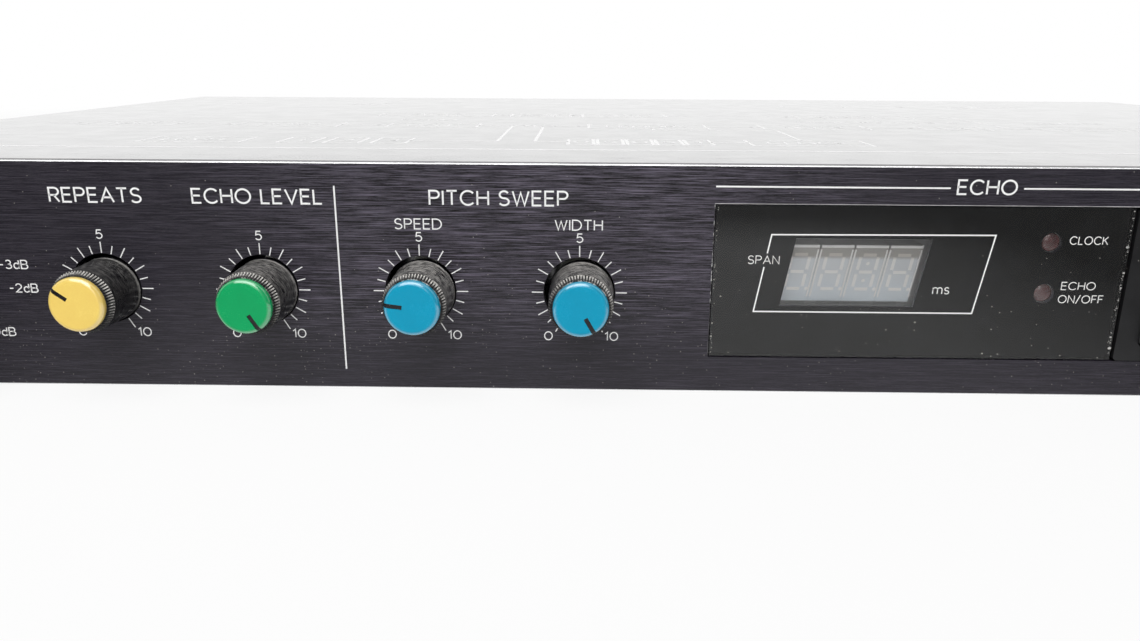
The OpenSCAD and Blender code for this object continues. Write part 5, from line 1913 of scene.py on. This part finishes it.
@dataclass
class Studio:
    """A white floor and surround, a soft lamp above and a weak one in front."""

    floor_half: float = 6000.0
    fill: float = 0.25
    side_tone: float = 0.1
    side_start: float = 0.1
    side_end: float = 0.45
    ahead_end: float = -0.3
    floor_share: float = 0.86
    near: float = 450.0
    far: float = 1100.0
    floor_color: Color = (0.9, 0.9, 0.9)
    front_near: float = -140.0
    front_far: float = -200.0
    front_tone: float = 0.15
    aside_near: float = 80.0
    aside_far: float = 160.0
    aside_tone: float = 0.0
    lamps: tuple[Softbox, ...] = (
        Softbox("key_softbox", (-180.0, -400.0, 720.0), (-30.0, 0.0, 0.0), (900.0, 800.0), 6.6),
        Softbox("front_softbox", (-30.0, -850.0, 420.0), (-30.0, 0.0, 0.0), (380.0, 700.0), 1.0),
    )

    def seen(self, wiring: Wiring) -> Socket:
        """Tells what is looked at from what only gives light.

        Args:
            wiring: The tree.

        Returns:
            One for rays from the camera, from a mirror or through glass, and none for light.
        """
        path = wiring.node("ShaderNodeLightPath").outputs
        shown = wiring.math("MAXIMUM", path["Is Camera Ray"], path["Is Glossy Ray"])
        return wiring.math("MAXIMUM", shown, path["Is Transmission Ray"])

    def build_world(self) -> None:
        """Makes a white surround that lights the object at a plain level.

        A mirror sees it darker at the front's left and right, as in a room with its window ahead.
        """
        world = bpy.data.worlds.new("white_surround")
        wiring = Wiring.fresh(world)
        parts = wiring.parts(wiring.node("ShaderNodeTexCoord").outputs["Generated"])
        aside = wiring.ramp(wiring.math("ABSOLUTE", parts["X"]), self.side_start, self.side_end)
        ahead = wiring.ramp(parts["Y"], 0.0, self.ahead_end)
        glossy = wiring.node("ShaderNodeLightPath").outputs["Is Glossy Ray"]
        loss = wiring.math("MULTIPLY", wiring.math("MULTIPLY", aside, ahead), glossy)
        shown = wiring.ramp(loss, 0.0, 1.0, 1.0, self.side_tone)
        level = wiring.ramp(self.seen(wiring), 0.0, 1.0, self.fill, 1.0)
        strength = wiring.math("MULTIPLY", level, shown)
        back = wiring.node("ShaderNodeBackground", {"Color": (1.0, 1.0, 1.0, 1.0), "Strength": strength})
        wiring.node("ShaderNodeOutputWorld", {"Surface": back.outputs[0]})
        bpy.context.scene.world = world

    def floor_material(self) -> bpy.types.Material:
        """Wires the floor: matt near the object, where it takes the shadow, and plain white far from it.

        A mirror sees it darker in front of the object, where a photographer would stand.

        Returns:
            The material.
        """
        material = bpy.data.materials.new("pale_floor")
        wiring = Wiring.fresh(material)
        matt = wiring.node("ShaderNodeBsdfDiffuse", {"Color": (*self.floor_color, 1.0)})
        place = wiring.node("ShaderNodeTexCoord").outputs["Object"]
        parts = wiring.parts(place)
        away = wiring.node("ShaderNodeVectorMath", operation="LENGTH")
        wiring.feed(away.inputs[0], place)
        glossy = wiring.node("ShaderNodeLightPath").outputs["Is Glossy Ray"]
        front = wiring.ramp(parts["Y"], self.front_far * MM, self.front_near * MM, self.front_tone, 1.0)
        reach = wiring.math("ABSOLUTE", wiring.math("SUBTRACT", parts["X"], PhotoCamera.place[0] * MM))
        aside = wiring.ramp(reach, self.aside_near * MM, self.aside_far * MM, 1.0, self.aside_tone)
        loss = wiring.math("SUBTRACT", 1.0, wiring.math("MULTIPLY", front, aside))
        strength = wiring.math("SUBTRACT", 1.0, wiring.math("MULTIPLY", glossy, loss))
        glow = wiring.node("ShaderNodeEmission", {"Color": (1.0, 1.0, 1.0, 1.0), "Strength": strength})
        white = wiring.ramp(away.outputs["Value"], self.near * MM, self.far * MM, self.floor_share, 1.0)
        share = wiring.math("MULTIPLY", self.seen(wiring), white)
        mixed = wiring.node("ShaderNodeMixShader", {"Fac": share})
        wiring.feed(mixed.inputs[1], matt.outputs[0])
        wiring.feed(mixed.inputs[2], glow.outputs[0])
        wiring.node("ShaderNodeOutputMaterial", {"Surface": mixed.outputs[0]})
        return material

    def build_floor(self) -> None:
        """Lays a pale floor under the panel's foot."""
        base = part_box("front_panel")[0].z
        half = self.floor_half * MM
        mesh = bpy.data.meshes.new("floor")
        corners = [(-half, -half, base), (half, -half, base), (half, half, base), (-half, half, base)]
        mesh.from_pydata(corners, [], [(0, 1, 2, 3)])
        mesh.materials.append(self.floor_material())
        floor = add_object("floor", mesh)

    def build(self) -> None:
        """Sets the stage and the plain view transform."""
        bpy.context.scene.view_settings.view_transform = "Standard"
        self.build_world()
        self.build_floor()
        for lamp in self.lamps:
            lamp.build()


def main() -> None:
    """Builds the camera, the stage and every dressed piece."""
    logging.basicConfig(level=logging.INFO, format="%(name)s: %(message)s")
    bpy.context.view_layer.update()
    PhotoCamera().build()
    Studio().build()
    for finish, nodes in NODE_FINISHES.items():
        for node in nodes:
            dress(node, finish)
    # The last value scales each knob's dust and painted sheen.
    for name, cap_finish, turn, dusty in (
        ("level", CAP_RED, 60.0, 0.8), ("feedback", CAP_YELLOW, -54.0, 0.3),
        ("echo", CAP_GREEN, 149.0, 0.9), ("rate", CAP_BLUE, -83.0, 1.6), ("depth", CAP_BLUE, 150.0, 1.6),
    ):
        Knob(name, cap_finish, turn, dusty=dusty).build()
    PanelPrint().build()
    DisplayWindow().build()
    KeyMarks().build()
    CoverDiagram().build()
    RearPrint().build()
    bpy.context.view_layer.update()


if __name__ == "__main__":
    main()
